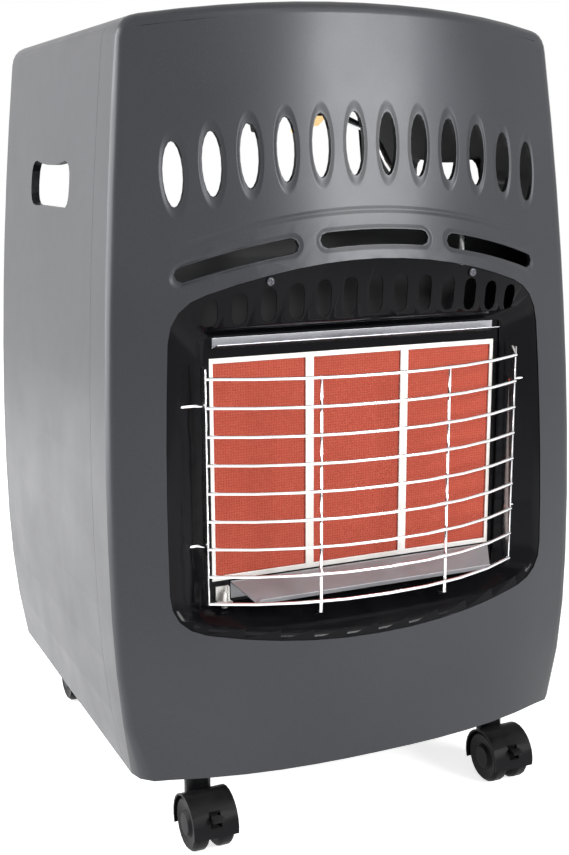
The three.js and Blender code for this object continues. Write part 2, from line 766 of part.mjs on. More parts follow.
function makeWrapper() {
  const rings = outline.map((point) => {
    const seam = seamY(point.z) + seamGap;
    const profile = [
      [0, seam], [0, back], [rearReturn, back], [rearReturn, back - wrapperWall],
      [wrapperWall, back - wrapperWall], [wrapperWall, seam + 4], [tuck + wrapperWall, seam + 1],
      [tuck + wrapperWall, seam - joggleDepth], [tuck, seam - joggleDepth], [tuck, seam],
    ];
    return profile.map(([depth, y]) => {
      const [x, z] = inset(point, depth);
      return v3(x, y, z);
    });
  });
  const wrapper = ringsSolid(rings);
  const hole = handHoleOutline();
  const handHole = prismX(hole, -widestHalfWidth, widestHalfWidth);
  const controlCut = box(
    -controlCutHalf, controlCutHalf, back - controlCutDepth, back + 1,
    bodyCornerZ - rearReturn - 5, bodyCornerZ + crownRise + 1);
  const rimRing = (side, depth) => (
    offsetLoop(hole, -wrapperWall).map(([y, z]) => v3(side * (wallX(z) - depth), y, z)));
  const rims = [-1, 1].map((side) => (
    ringsSolid([rimRing(side, wrapperWall / 2), rimRing(side, handRimDepth)])));
  return cut(join([wrapper, ...rims]), [handHole, controlCut]);
}

// The pan's outline in plan, moved in by a depth.
function panOutline(depth) {
  const halfX = bottomHalfWidth - tuck - wrapperWall - gap - depth;
  const topZ = panBottomZ + panFlange;
  const edgeY = (x) => frontY(x, topZ) + shellWall + panFrontGap + depth;
  const rearY = back - wrapperWall - gap - depth;
  const cornerStart = cornerY(topZ) + bottomFillet + depth;
  const bowHalf = halfX - bottomFillet;
  const bow = Array.from({ length: 13 }, (_, i) => {
    const x = lerp(-bowHalf, bowHalf, i / 12);
    return [x, edgeY(x)];
  });
  const leftCorner = softCorner([-halfX, cornerStart], [-halfX, edgeY(halfX)], bow[0], 3);
  const front = [...leftCorner.slice(0, -1), ...bow, ...mirrored(leftCorner).slice(1)];
  return [[-halfX, rearY], ...front, [halfX, rearY]];
}

const shieldY = fromRear(shieldFromRear);
const bayMiddleY = (back + shieldY) / 2;
const panFloorZ = panBottomZ + panWall;

function makeBasePan() {
  const outer = prismZ(panOutline(0), panBottomZ, panBottomZ + panFlange);
  const pocket = prismZ(panOutline(panWall), panFloorZ, panBottomZ + panFlange + 1);
  const vents = [];
  for (const groupY of [bayMiddleY, (shieldY + cornerY(panBottomZ)) / 2 - 10]) {
    const rows = groupY === bayMiddleY ? ventRows : 2;
    for (let row = 0; row < rows; row += 1) {
      for (const x of [-ventLength * 0.75, ventLength * 0.75]) {
        const y = groupY + (row - (rows - 1) / 2) * ventPitch;
        vents.push(prismZ(roundSlot(x, y, ventLength, ventWidth, 2), panBottomZ - 1, panFloorZ + 1));
      }
    }
  }
  const rib = revolve([
    [cylinderSeatRadius - cylinderSeatRib, 0], [cylinderSeatRadius, cylinderSeatRib],
    [cylinderSeatRadius + cylinderSeatRib, 0], [cylinderSeatRadius, -panWall / 2],
    [cylinderSeatRadius - cylinderSeatRib, 0],
  ], 20).translate([0, bayMiddleY, panFloorZ]);
  return cut(outer.subtract(pocket), vents).add(rib);
}

// ---------------------------------------------------------------- heat shield

function makeHeatShield() {
  const clearSide = (z) => wallX(z) - wrapperWall - gap;
  const footZ = panFloorZ + gap;
  const stepZ = panBottomZ + panFlange + gap;
  const footHalf = bottomHalfWidth - tuck - wrapperWall - gap - panWall - gap;
  const between = sideHeights.filter((z) => z > stepZ && z < shieldTopZ);
  const side = [stepZ, ...between, shieldTopZ].map((z) => [clearSide(z), z]);
  const right = [[footHalf, footZ], [footHalf, stepZ], ...side];
  const sheet = prismY([...right, ...mirrored(right)], shieldY - shieldWall, shieldY);
  const lipHalf = clearSide(shieldTopZ) - 10;
  const lipZ = shieldTopZ + shieldLipRun * shieldLipSlope;
  const lip = prismX([
    [shieldY, shieldTopZ - shieldWall], [shieldY, shieldTopZ], [shieldY - shieldLipRun, lipZ],
    [shieldY - shieldLipRun, lipZ - shieldWall], [shieldY - shieldWall, shieldTopZ - shieldWall],
  ], -lipHalf, lipHalf);
  return sheet.add(lip);
}

// ---------------------------------------------------------------- burner

const tileFaceY = fromRear(tileFaceFromRear);
const frameFrontY = tileFaceY - gap - frameWall;
const burnerZ = tileBottomZ + tileHeight / 2;
const frameHalfHeight = tileHeight / 2 + gap + 1;
const plenumFrontY = tileFaceY + tileThickness + gap;
const plenumBackY = plenumFrontY + plenumDepth;
const venturiY = (plenumFrontY + plenumBackY) / 2;
const venturiZ = burnerZ - frameHalfHeight - venturiLength;
const railZ = venturiZ - 3 - 2 * railRadius;

function makeTile() {
  const chamfer = 1;
  const ring = (y, depth) => [
    [-1, -1], [1, -1], [1, 1], [-1, 1],
  ].map(([sx, sz]) => v3(sx * (tileWidth / 2 - depth), y, sz * (tileHeight / 2 - depth)));
  return ringsSolid([ring(0, chamfer), ring(chamfer, 0), ring(tileThickness, 0)]);
}

function makeBurnerFrame() {
  const plateBack = frameFrontY + frameWall;
  const outer = (depth, from, to) => box(
    -frameHalfWidth + depth, frameHalfWidth - depth, from, to,
    burnerZ - frameHalfHeight + depth, burnerZ + frameHalfHeight - depth);
  const frame = outer(0, frameFrontY, plateBack + frameFlange)
    .subtract(outer(1, plateBack, plateBack + frameFlange + 1));
  const windows = [-1, 0, 1].map((i) => prismY([
    [-1, -1], [1, -1], [1, 1], [-1, 1],
  ].map(([sx, sz]) => [i * windowPitch + (sx * windowWidth) / 2, burnerZ + (sz * windowHeight) / 2]),
  frameFrontY - 1, plateBack + 0.5));
  return cut(frame, windows);
}

// A pressed tray behind the tiles, open towards them, with a venturi under each tile.
function makePlenum() {
  const ring = (y, depth) => [
    [-1, -1], [1, -1], [1, 1], [-1, 1],
  ].map(([sx, sz]) => v3(
    sx * (frameHalfWidth - 1 - depth), y, burnerZ + sz * (frameHalfHeight - 1 - depth)));
  const wall = plenumWall;
  const bendY = plenumBackY - plenumChamfer;
  const tray = ringsSolid([ring(plenumFrontY, 0), ring(bendY, 0), ring(plenumBackY, plenumChamfer)]);
  const hollow = ringsSolid([
    ring(plenumFrontY - wall, wall), ring(bendY - wall / 2, wall),
    ring(plenumBackY - wall, plenumChamfer + wall / 2),
  ]);
  const topZ = burnerZ - frameHalfHeight + 2;
  const flareZ = venturiZ + venturiFlare;
  const venturis = [-1, 0, 1].map((i) => revolve([
    [0, topZ], [venturiRadius - 3, topZ], [venturiRadius - 3, flareZ], [venturiRadius, venturiZ],
    [venturiRadius - 2, venturiZ], [venturiRadius - 5, flareZ], [0, flareZ],
  ], 10).translate([i * windowPitch, venturiY, 0]));
  return join([tray.subtract(hollow), ...venturis]);
}

const housingBackY = shieldY - shieldWall - gap;

function makeBurnerHousing() {
  const plateBack = frameFrontY + mountPlateWall;
  const half = mountPlateHalfWidth;
  const side = half - mountPlateWall;
  const channel = prismZ([
    [-half, housingBackY], [-half, frameFrontY], [half, frameFrontY], [half, housingBackY],
    [side, housingBackY], [side, plateBack], [-side, plateBack], [-side, housingBackY],
  ], mountPlateBottomZ, mountPlateTopZ);
  return channel.subtract(box(
    -frameHalfWidth - gap, frameHalfWidth + gap, frameFrontY - 1, plateBack + 1,
    burnerZ - frameHalfHeight - gap, burnerZ + frameHalfHeight + gap));
}

const railEndX = windowPitch + railOverhang;

function makeInjectorRail() {
  const railY = venturiY;
  const pipe = bar(v3(-railEndX, railY, railZ), v3(railEndX, railY, railZ), railRadius, 12);
  const injectors = [-1, 0, 1].map((i) => bar(
    v3(i * windowPitch, railY, railZ), v3(i * windowPitch, railY, venturiZ - 0.5), injectorRadius, 8));
  return join([pipe, ...injectors]);
}

// ---------------------------------------------------------------- bezel and reflectors

const bezelSeatY = frameFrontY - gap - bezelWall;

// Where a bezel screw's head sits, between the louvres and the opening's edge.
function screwPlace(side) {
  const x = side * 4 * louvrePitch;
  const z = (openingTop(x) - bezelInset + louvreTopZ - louvreTopFallAt(x)) / 2;
  return [x, frontY(x, openingTop(x)) + bezelRecess - gap, z];
}

// The bezel's face at one point of the opening: round the rim, then down the slope to its seat.
function bezelStations([x, z], [inX, inZ]) {
  const band = openingTop(x) - louvreBottomZ + louvreBottomFallAt(x) + bezelBandBelow;
  const rim = inZ < 0 ? lerp(bezelRimSide, band, inZ * inZ) : bezelRimSide;
  const faceY = frontY(x, z) + bezelRecess;
  const low = openingBottom(x);
  const shareX = x / openingSideX(z);
  const shareZ = (z - low) / (openingTop(x) - low);
  const fromMiddle = 2 * shareZ - 1;
  const square = lerp(1, 1 / Math.max(Math.abs(shareX), Math.abs(fromMiddle)), bezelSeatSquareness);
  const seatMiddleZ = (bezelSeatTopZ + bezelSeatBottomZ) / 2;
  const seat = (grow) => [
    shareX * square * (bezelSeatHalfWidth + grow),
    seatMiddleZ + fromMiddle * square * (seatMiddleZ - bezelSeatBottomZ + grow),
  ];
  const wall = bezelWall;
  const at = ([px, pz], y, out, deep) => [
    v3(px, y, pz), v3(px - inX * out * wall, y + deep * wall, pz - inZ * out * wall)];
  const edge = (depth) => [x + inX * depth, z + inZ * depth];
  return [
    at(edge(bezelInset), faceY + bezelRimDepth, -1, 0),
    at(edge(bezelInset), faceY, -1, 1),
    at(edge(bezelInset + rim), faceY + rim * bezelBandLean, 1, 1),
    at(seat(4), bezelSeatY, 1, 1),
    at(seat(0), bezelSeatY, 0, 1),
  ];
}

function makeBezel() {
  const inner = offsetLoop(opening, 1);
  const columns = opening.map((point, i) => (
    bezelStations(point, [inner[i][0] - point[0], inner[i][1] - point[1]])));
  columns.push(columns[0]);
  const grid = columns[0].map((_, station) => columns.map((column) => column[station]));
  const louvres = Array.from({ length: louvreCount }, (_, i) => {
    const x = (i - (louvreCount - 1) / 2) * louvrePitch;
    const top = louvreTopZ - louvreTopFallAt(x);
    const bottom = louvreBottomZ - louvreBottomFallAt(x);
    const upright = roundSlot((top + bottom) / 2, x, top - bottom, louvreWidth, 4);
    return prismY(upright.map(([z, across]) => [across, z]).reverse(), frontReach[0], bezelSeatY - 2);
  });
  const screwHoles = [-1, 1].map((side) => {
    const [x, y, z] = screwPlace(side);
    return bar(v3(x, y - 5, z), v3(x, y + 5, z), 1.6 + gap, 12);
  });
  const pegHoles = pegPaths().map(([, , out, end]) => {
    const start = v3(out.x - Math.sign(out.x) * wireRadius * 2, out.y, out.z);
    return bar(start, end, wireRadius + 2 * gap, 8);
  });
  return cut(sheetSolid([grid]), [...louvres, ...screwHoles, ...pegHoles]);
}

function makeUpperReflector() {
  const y = frameFrontY - gap;
  const topZ = bezelSeatTopZ - 1;
  const foldZ = topZ - upperReflectorFold;
  const edgeZ = topZ - upperReflectorFold / 2;
  const wall = reflectorWall;
  return prismX([
    [y, topZ], [y - wall, topZ], [y - wall, foldZ], [y - upperReflectorRun, edgeZ],
    [y - upperReflectorRun, edgeZ - wall], [y - wall, foldZ - wall], [y, foldZ - wall],
  ], -upperReflectorHalf, upperReflectorHalf);
}

function makeLowerReflector() {
  const y = frameFrontY - gap;
  const topZ = burnerZ - frameHalfHeight - 1;
  const wall = reflectorWall;
  const foldY = y - lowerReflectorRun;
  const foldZ = topZ - lowerReflectorFall;
  const lipY = foldY - lowerReflectorLip * 0.75;
  const lipZ = foldZ + lowerReflectorLip;
  const tray = prismX([
    [y, topZ - lowerReflectorBack], [y, topZ], [y - 4, topZ], [foldY, foldZ], [lipY, lipZ],
    [lipY - wall, lipZ - wall * 0.75], [foldY, foldZ - wall * 2], [y - 3.6, topZ - wall * 1.5],
    [y - wall, topZ - wall * 1.5], [y - wall, topZ - lowerReflectorBack],
  ], -lowerReflectorLeft, lowerReflectorRight);
  const endCut = (endX) => {
    const out = Math.sign(endX);
    return prismZ([
      [endX - out * lowerReflectorTrim, lipY - 2], [endX + out, lipY - 2], [endX + out, y - 3],
    ], topZ - lowerReflectorBack - 4, topZ + 5);
  };
  return cut(tray, [endCut(lowerReflectorRight), endCut(-lowerReflectorLeft)]);
}

// ---------------------------------------------------------------- wire guard

// The short wires at each side that hook into the bezel.
function pegPaths() {
  return [1, 6].flatMap((i) => [-1, 1].map((side) => {
    const z = guardTopZ - i * guardPitch;
    const backY = guardEdgeY + pegBack;
    return [
      v3(side * (guardHalfWidth - 1), guardEdgeY + guardBarDepth - 2, z),
      v3(side * (guardHalfWidth + 3), backY - 1, z),
      v3(side * (guardHalfWidth + 5.5), backY, z), v3(side * (guardHalfWidth + pegLength), backY, z),
    ];
  }));
}

const guardEdgeY = frameFrontY - guardStandoff;
const guardTopZ = guardBottomZ + (guardWires - 1) * guardPitch;
const guardBow = back - wireRadius + guardEdgeY;
const guardY = (x) => guardEdgeY - guardBow * (1 - (Math.abs(x) / guardHalfWidth) ** guardBowPower);

function makeGuard() {
  const wireEnd = guardHalfWidth - guardBarWall / 2;
  const wires = Array.from({ length: guardWires }, (_, i) => {
    const z = guardBottomZ + i * guardPitch;
    const points = Array.from({ length: 13 }, (_, k) => {
      const x = lerp(-wireEnd, wireEnd, k / 12);
      return v3(x, guardY(x), z);
    });
    return tube(polyline(points), wireRadius, 8);
  });
  const ends = [-1, 1].map((side) => box(
    ...ordered(side * guardHalfWidth, side * (guardHalfWidth - guardBarWall)),
    guardEdgeY, guardEdgeY + guardBarDepth, guardBottomZ - 2, guardTopZ + 8));
  const uprights = [-1, 1].map((side) => {
    const x = side * guardUprightX;
    const y = guardY(x) + guardCross;
    const lowZ = guardBottomZ - guardHook;
    const path = polyline([
      v3(x, y + guardHook, lowZ - guardHook / 3), v3(x, y + guardHook / 4, lowZ - guardHook / 4),
      v3(x, y, lowZ + 2), v3(x, y, guardBottomZ),
      v3(x, y, (guardBottomZ + guardTopZ) / 2), v3(x, y, guardTopZ + wireRadius),
    ]);
    return tube(path, wireRadius, 14, 8, 0.5);
  });
  const pegs = pegPaths().map((points) => tube(polyline(points), wireRadius, 3));
  return join([...wires, ...ends, ...uprights, ...pegs]);
}

// ---------------------------------------------------------------- controls and gas path

const cutFrontY = back - controlCutDepth;
const slopeTopY = cutFrontY + controlStep;
const slopeEndY = back - controlRearInset;
const panelEdgeZ = crownZ(controlPanelHalf);
const slopeDrop = controlSlopeBottomDrop - controlSlopeTopDrop;
const slopeAngle = Math.atan2(slopeDrop, slopeEndY - slopeTopY);
const slopeUp = v3(0, Math.sin(slopeAngle), Math.cos(slopeAngle));
const slopeTurn = new THREE.Quaternion().setFromUnitVectors(v3(0, 0, 1), slopeUp);

// A place on the sloping panel, half way down it.
function onSlope(x, height = 0) {
  const y = (slopeTopY + slopeEndY) / 2;
  const z = panelEdgeZ - (controlSlopeTopDrop + controlSlopeBottomDrop) / 2;
  return v3(x, y, z).addScaledVector(slopeUp, height);
}

// A solid drawn upright about the origin, set square on the sloping panel.
function setOnSlope(body, x) {
  const matrix = new THREE.Matrix4().compose(onSlope(x), slopeTurn, v3(1, 1, 1));
  return body.transform(matrix.toArray());
}

function makeControlPanel() {
  const wall = controlPanelWall;
  const under = -wrapperWall - gap;
  const mitre = (wall * (1 - Math.sin(slopeAngle))) / Math.cos(slopeAngle);
  const lipY = cutFrontY - controlTopLip;
  const lip = (x) => [
    [lipY, crownZ(x) + under - wall], [lipY, crownZ(x) + under], [cutFrontY, crownZ(x) + under],
  ];
  const slope = [
    [slopeTopY, -controlSlopeTopDrop], [slopeEndY, -controlSlopeBottomDrop],
    [slopeEndY, -controlSlopeBottomDrop - controlLip],
    [slopeEndY - wall, -controlSlopeBottomDrop - controlLip],
    [slopeEndY - wall, -controlSlopeBottomDrop - mitre],
    [slopeTopY - wall, -controlSlopeTopDrop - mitre],
  ];
  const rings = Array.from({ length: 9 }, (_, i) => {
    const x = lerp(-controlPanelHalf, controlPanelHalf, i / 8);
    const section = [
      ...lip(x), ...slope.map(([y, drop]) => [y, panelEdgeZ + drop]),
      [cutFrontY - wall, crownZ(x) + under - wall],
    ];
    return section.map(([y, z]) => v3(x, y, z));
  });
  const cheekShape = [
    [cutFrontY - wall, panelEdgeZ + under], [slopeTopY - wall, panelEdgeZ - controlSlopeTopDrop - wall],
    [slopeEndY, panelEdgeZ - controlSlopeBottomDrop - wall], [slopeEndY, panelEdgeZ + under],
  ];
  const cheeks = [-1, 1].map((side) => prismX(
    cheekShape, ...ordered(side * controlPanelHalf, side * (controlPanelHalf - wall))));
  const holes = [[knobX, knobShaftRadius + gap], [igniterX, buttonRadius + gap]].map(([x, radius]) => (
    setOnSlope(revolve([[0, -wall * 3], [radius, -wall * 3], [radius, wall * 3], [0, wall * 3]], 20), x)));
  return cut(join([ringsSolid(rings), ...cheeks]), holes);
}

function makeKnob() {
  const body = revolve([
    [0, -knobShaftLength], [knobShaftRadius, -knobShaftLength], [knobShaftRadius, gap],
    [knobRadius - 1, gap], [knobRadius, 1.5], [knobRadius, knobSkirt - 2], [knobRadius - 3, knobSkirt],
    [knobRadius - 4.5, knobHeight - 2], [knobRadius - 6.5, knobHeight], [0, knobHeight],
  ], 20);
  const hollows = [-1, 1].map((side) => box(
    ...ordered(side * knobGripHalf, side * knobRadius), -knobRadius, knobRadius,
    knobSkirt + 1, knobHeight + 1));
  const pointer = box(-1, 1, 4, knobRadius - 7, knobHeight - 1, knobHeight + 0.6);
  return cut(body, hollows).add(pointer);
}

function makeButton() {
  return revolve([
    [0, -buttonTravel - 2], [buttonRadius - 1.5, -buttonTravel - 2], [buttonRadius - 1.5, -2],
    [buttonRadius - 0.3, -2], [buttonRadius - 0.3, buttonHeight - 1.5],
    [buttonRadius - 1.8, buttonHeight], [0, buttonHeight],
  ], 16);
}

const underSlope = -controlPanelWall - gap;

function makeIgniterBody() {
  const top = underSlope;
  const seat = -buttonTravel - 2 - buttonTravel - gap;
  return setOnSlope(revolve([
    [0, seat - igniterLength], [igniterRadius - 3, seat - igniterLength],
    [igniterRadius - 3, seat - igniterLength + 8], [igniterRadius, seat - igniterLength + 10],
    [igniterRadius, top - 4], [igniterRadius + 3, top - 4], [igniterRadius + 3, top],
    [buttonRadius + gap, top], [buttonRadius + gap, seat], [0, seat],
  ], 14), igniterX);
}

function makeValve() {
  const top = underSlope;
  const shell = revolve([
    [0, -knobShaftLength - gap], [knobShaftRadius + gap, -knobShaftLength - gap],
    [knobShaftRadius + gap, top], [valveCollarRadius, top],
    [valveCollarRadius, top - valveCollar], [valveRadius, top - valveCollar - 1],
    [valveRadius, top - valveLength], [0, top - valveLength],
  ], 14);
  const blockHalf = valveRadius + 2;
  const blockZ = top - valveLength - 4;
  const block = box(-blockHalf, blockHalf, -valveRadius, valveRadius, blockZ, blockZ + valveBlock);
  return setOnSlope(shell.add(block), knobX);
}

const valveMiddle = onSlope(knobX, underSlope - valveLength + 5);

function makeGasInlet() {
  const height = underSlope - valveLength + 5;
  const piece = (from, to, radius, sides) => bar(
    v3(0, valveRadius + gap + from, height), v3(0, valveRadius + gap + to, height), radius, sides);
  const nut = piece(0, inletNut, inletRadius + 3.5, 6);
  const tail = piece(inletNut - 1, inletLength, inletRadius, 8);
  const barbs = [13, 7].map((fromEnd) => (
    piece(inletLength - fromEnd, inletLength - fromEnd + 3, inletRadius + 1, 8)));
  return setOnSlope(join([nut, tail, ...barbs]), knobX);
}

const tubeX = windowPitch + tileWidth / 3;
const tubeDownY = (plenumBackY + shieldY - shieldWall) / 2;

function makeGasTube() {
  const startX = valveMiddle.x + valveRadius + 2 + gap;
  const { y, z } = valveMiddle;
  const overZ = shieldTopZ + shieldLipRun + tubeRadius * 3;
  const overY = shieldY - shieldLipRun - tubeRadius * 3.5;
  const along = (share) => lerp(y, overY, share);
  return tube(polyline([
    v3(startX, y, z), v3(startX + tubeBend * 0.7, y, z), v3(tubeSideX, along(0.1), z - tubeBend * 1.1),
    v3(tubeSideX, along(0.33), overZ + tubeBend * 0.3), v3(tubeSideX, along(0.75), overZ),
    v3(tubeX + tubeBend, along(0.94), overZ - tubeBend * 0.15), v3(tubeX, overY, overZ - tubeBend),
    v3(tubeX, overY, mountPlateTopZ + tubeBend * 1.5),
    v3(tubeX, tubeDownY, burnerZ + frameHalfHeight + tubeBend / 3),
    v3(tubeX, tubeDownY, burnerZ), v3(tubeX, tubeDownY, railZ + tubeBend * 1.3),
    v3(tubeX, tubeDownY - tubeRadius * 2, railZ + tubeRadius), v3(tubeX - tubeRadius, venturiY, railZ),
    v3(railEndX + gap, venturiY, railZ),
  ]), tubeRadius, 26);
}

function makePilot() {
  const y = frameFrontY - gap;
  const x = pilotFromSide - frameHalfWidth;
  const low = mountPlateBottomZ + pilotHalf;
  const wall = mountPlateWall;
  const middleY = y - pilotHalf;
  const electrodeX = x + pilotHalf - 2;
  const bracket = prismX([
    [y, low], [y, low + pilotHeight - 1], [y - wall, low + pilotHeight - 1], [y - wall, low + wall],
    [y - pilotRun, low + wall], [y - pilotRun, low],
  ], x - pilotHalf, x + pilotHalf);
  return join([
    bracket,
    bar(v3(x, middleY, low - 5), v3(x, middleY, low + pilotHeight - 5), pilotRadius, 10),
    bar(v3(electrodeX, middleY, low - 4), v3(electrodeX, middleY, low + pilotHeight), electrodeRadius, 8),
  ]);
}

function makeTiltSwitch() {
  const x = bottomHalfWidth - tiltFromSide;
  const y = shieldY + gap + tiltHalf;
  const floor = panFloorZ + gap;
  return join([
    box(x - tiltHalf, x + tiltHalf, y - tiltHalf + 1, y + tiltHalf - 3, floor + 1, floor + tiltHeight),
    box(x - tiltFlange, x + tiltFlange, y - tiltHalf, y + tiltHalf, floor, floor + 2),
    bar(v3(x, y, floor + tiltHeight - 1), v3(x, y, floor + tiltHeight + 4), tiltCapRadius, 12),
  ]);
}

// Pan-head screw with a cross recess, its head facing the front.
function makeScrew() {
  const head = revolve([[0, -9], [1.6, -9], [1.6, 0], [3.6, 0], [3.6, 1.1], [2.6, 1.9], [0, 2.1]], 9);
  const recess = [box(-2, 2, -0.4, 0.4, 1.2, 3), box(-0.4, 0.4, -2, 2, 1.2, 3)];
  return cut(head, recess).rotate([90, 0, 0]);
}

// ---------------------------------------------------------------- casters

// Each caster is drawn with its kingpin over the origin and the axle behind it along -Y.

function makeCasterPlate() {
  const topZ = panBottomZ - gap;
  const endZ = topZ - kingpinLength;
  const half = casterPlate / 2;
  const plate = box(-half, half, -half, half, topZ - casterPlateWall, topZ);
  const pin = revolve([
    [0, endZ], [kingpinRadius - 1, endZ], [kingpinRadius, endZ + 1], [kingpinRadius, hoodTopZ + gap],
    [kingpinRadius + 4, hoodTopZ + 1], [kingpinRadius + 4, topZ - 1], [0, topZ - 1],
  ], 12);
  return join([plate, pin]);
}

// Part of a disc about the axle, in Y and Z, from one angle to another measured from +Y.
function sector(radius, innerRadius, fromAngle, toAngle, steps = 14) {
  const arc = (r) => Array.from({ length: steps + 1 }, (_, i) => {
    const angle = THREE.MathUtils.degToRad(lerp(fromAngle, toAngle, i / steps));
    return [-casterTrail + r * Math.cos(angle), wheelRadius + r * Math.sin(angle)];
  });
  const inside = innerRadius > 0 ? arc(innerRadius).reverse() : [[-casterTrail, wheelRadius]];
  return [...arc(radius), ...inside];
}

const axleLine = (from, to, radius, sides) => bar(
  v3(from, -casterTrail, wheelRadius), v3(to, -casterTrail, wheelRadius), radius, sides);
const brakePivot = [
  -casterTrail + brakePivotRadius * Math.cos(THREE.MathUtils.degToRad(brakePivotAngle)),
  wheelRadius + brakePivotRadius * Math.sin(THREE.MathUtils.degToRad(brakePivotAngle)),
];

function makeHood(braked) {
  const inner = hoodRadius - hoodWall;
  const fender = prismX(sector(hoodRadius, inner, hoodFromAngle, hoodToAngle), -hoodHalfWidth, hoodHalfWidth);
  const web = prismX(sector(inner + 0.5, 0, hoodFromAngle, hoodToAngle), -webWidth / 2, webWidth / 2);
  const hub = axleLine(-webWidth / 2, webWidth / 2, bossRadius * 0.7, 12);
  const boss = revolve([
    [0, wheelRadius + 4], [bossRadius, wheelRadius + 4], [bossRadius, hoodTopZ - 1],
    [bossRadius - 1, hoodTopZ], [0, hoodTopZ],
  ], 14);
  const wheelRoom = [-1, 1].map((side) => axleLine(
    (side * webWidth) / 2, side * (hoodHalfWidth + 1), inner, 24));
  const pinZ = panBottomZ - gap - kingpinLength - gap;
  const bore = revolve([
    [0, pinZ], [kingpinBoreRadius, pinZ], [kingpinBoreRadius, hoodTopZ + 1], [0, hoodTopZ + 1]], 12);
  const axleHole = axleLine(-webWidth, webWidth, axleRadius + gap, 12);
  const hood = join([web, hub, cut(boss, wheelRoom), fender]);
  const cuts = [bore, axleHole];
  if (braked) {
    const [pivotY, pivotZ] = brakePivot;
    const outY = -casterTrail - hoodRadius - 1;
    cuts.push(
      bar(v3(-webWidth, pivotY, pivotZ), v3(webWidth, pivotY, pivotZ), brakeKnuckle + gap, 12),
      prismX([[pivotY, pivotZ - 2.6], [outY, pivotZ - 8], [outY, pivotZ + 6], [pivotY, pivotZ + 2.6]],
        -webWidth / 2 - 0.1, webWidth / 2 + 0.1),
      box(
        -brakeWidth / 2 - gap, brakeWidth / 2 + gap, outY, -casterTrail - inner * 0.8,
        pivotZ - 7, pivotZ + 7.5),
    );
  }
  return cut(hood, cuts);
}

function makeBrake() {
  const [pivotY, pivotZ] = brakePivot;
  const stemHalf = webWidth / 2 - gap;
  const knuckle = bar(v3(-stemHalf, pivotY, pivotZ), v3(stemHalf, pivotY, pivotZ), brakeKnuckle, 12);
  const outY = -casterTrail - hoodRadius;
  const stem = prismX([
    [pivotY, pivotZ - 1.6], [outY, pivotZ + 0.6], [outY, pivotZ + 4], [pivotY, pivotZ + 1.6],
  ], -stemHalf, stemHalf);
  const tab = prismX([
    [outY + 1.5, pivotZ + 0.4], [outY - brakeTab + 2, pivotZ - 0.2],
    [outY - brakeTab, pivotZ + 1.6], [outY - brakeTab + 2, pivotZ + 3.6],
    [outY + 1.5, pivotZ + 4.4],
  ], -brakeWidth / 2, brakeWidth / 2);
  return join([knuckle, stem, tab]);
}

function makeAxle() {
  const reach = webWidth / 2 + wheelSideGap + wheelWidth - wheelCap - gap;
  return axleLine(-reach, reach, axleRadius, 12);
}

// Drawn about +Z with the inner face at zero, then laid along X by its place in the caster.
function makeWheel(side) {
  const inner = webWidth / 2 + wheelSideGap;
  const wheel = revolve([
    [wheelBore, 0], [wheelRadius - 2.5, 0], [wheelRadius, 2.5], [wheelRadius, wheelWidth - 4],
    [wheelRadius - 3, wheelWidth - 1], [wheelRadius - 12, wheelWidth - 3], [wheelRadius - 15, wheelWidth],
    [0, wheelWidth], [0, wheelWidth - wheelCap], [wheelBore, wheelWidth - wheelCap], [wheelBore, 0],
  ], 20);
  const turned = wheel.rotate([0, side * 90, 0]);
  return turned.translate([side * inner, -casterTrail, wheelRadius]);
}

// ---------------------------------------------------------------- assembly

const group = new THREE.Group();
group.name = 'gas_cabinet_heater';

function addPiece(name, body, finish, place = [0, 0, 0], turnZ = 0) {
  const mesh = new THREE.Mesh(geometryOf(body), finish.clone());
  mesh.name = name;
  mesh.position.set(...place);
  mesh.rotation.z = turnZ;
  group.add(mesh);
  return mesh;
}

addPiece('front_shell', makeFrontShell(), finishes.graphite);
addPiece('cabinet_wrapper', makeWrapper(), finishes.graphite);
addPiece('base_pan', makeBasePan(), finishes.graphite);
addPiece('heat_shield', makeHeatShield(), finishes.steel);
addPiece('burner_bezel', makeBezel(), finishes.blackGloss);
addPiece('burner_housing', makeBurnerHousing(), finishes.steel);
addPiece('burner_frame', makeBurnerFrame(), finishes.steel);
const tile = makeTile();
[['left', -1], ['centre', 0], ['right', 1]].forEach(([name, i]) => {
  addPiece(`ceramic_tile_${name}`, tile, finishes.ceramic, [i * windowPitch, tileFaceY, burnerZ]);
});
addPiece('burner_plenum', makePlenum(), finishes.steel);
addPiece('injector_rail', makeInjectorRail(), finishes.brass);
addPiece('gas_tube', makeGasTube(), finishes.steel);
addPiece('upper_reflector', makeUpperReflector(), finishes.chrome);
addPiece('lower_reflector', makeLowerReflector(), finishes.steel);
addPiece('wire_guard', makeGuard(), finishes.chrome);
addPiece('pilot_burner', makePilot(), finishes.steel);
addPiece('control_panel', makeControlPanel(), finishes.blackPlastic);
addPiece('gas_valve', makeValve(), finishes.brass);
addPiece('gas_inlet', makeGasInlet(), finishes.brass);
addPiece('igniter_body', makeIgniterBody(), finishes.blackPlastic);
addPiece('tilt_switch', makeTiltSwitch(), finishes.blackPlastic);

const knob = addPiece('control_knob', makeKnob(), finishes.blackPlastic, onSlope(knobX).toArray());
knob.quaternion.copy(slopeTurn);
const button = addPiece('igniter_button', makeButton(), finishes.redPlastic, onSlope(igniterX).toArray());
button.quaternion.copy(slopeTurn);

const screw = makeScrew();
[['left', -1], ['right', 1]].forEach(([name, side]) => {
  const [x, y, z] = screwPlace(side);
  addPiece(`bezel_screw_${name}`, screw, finishes.steel, [x, y, z]);
});

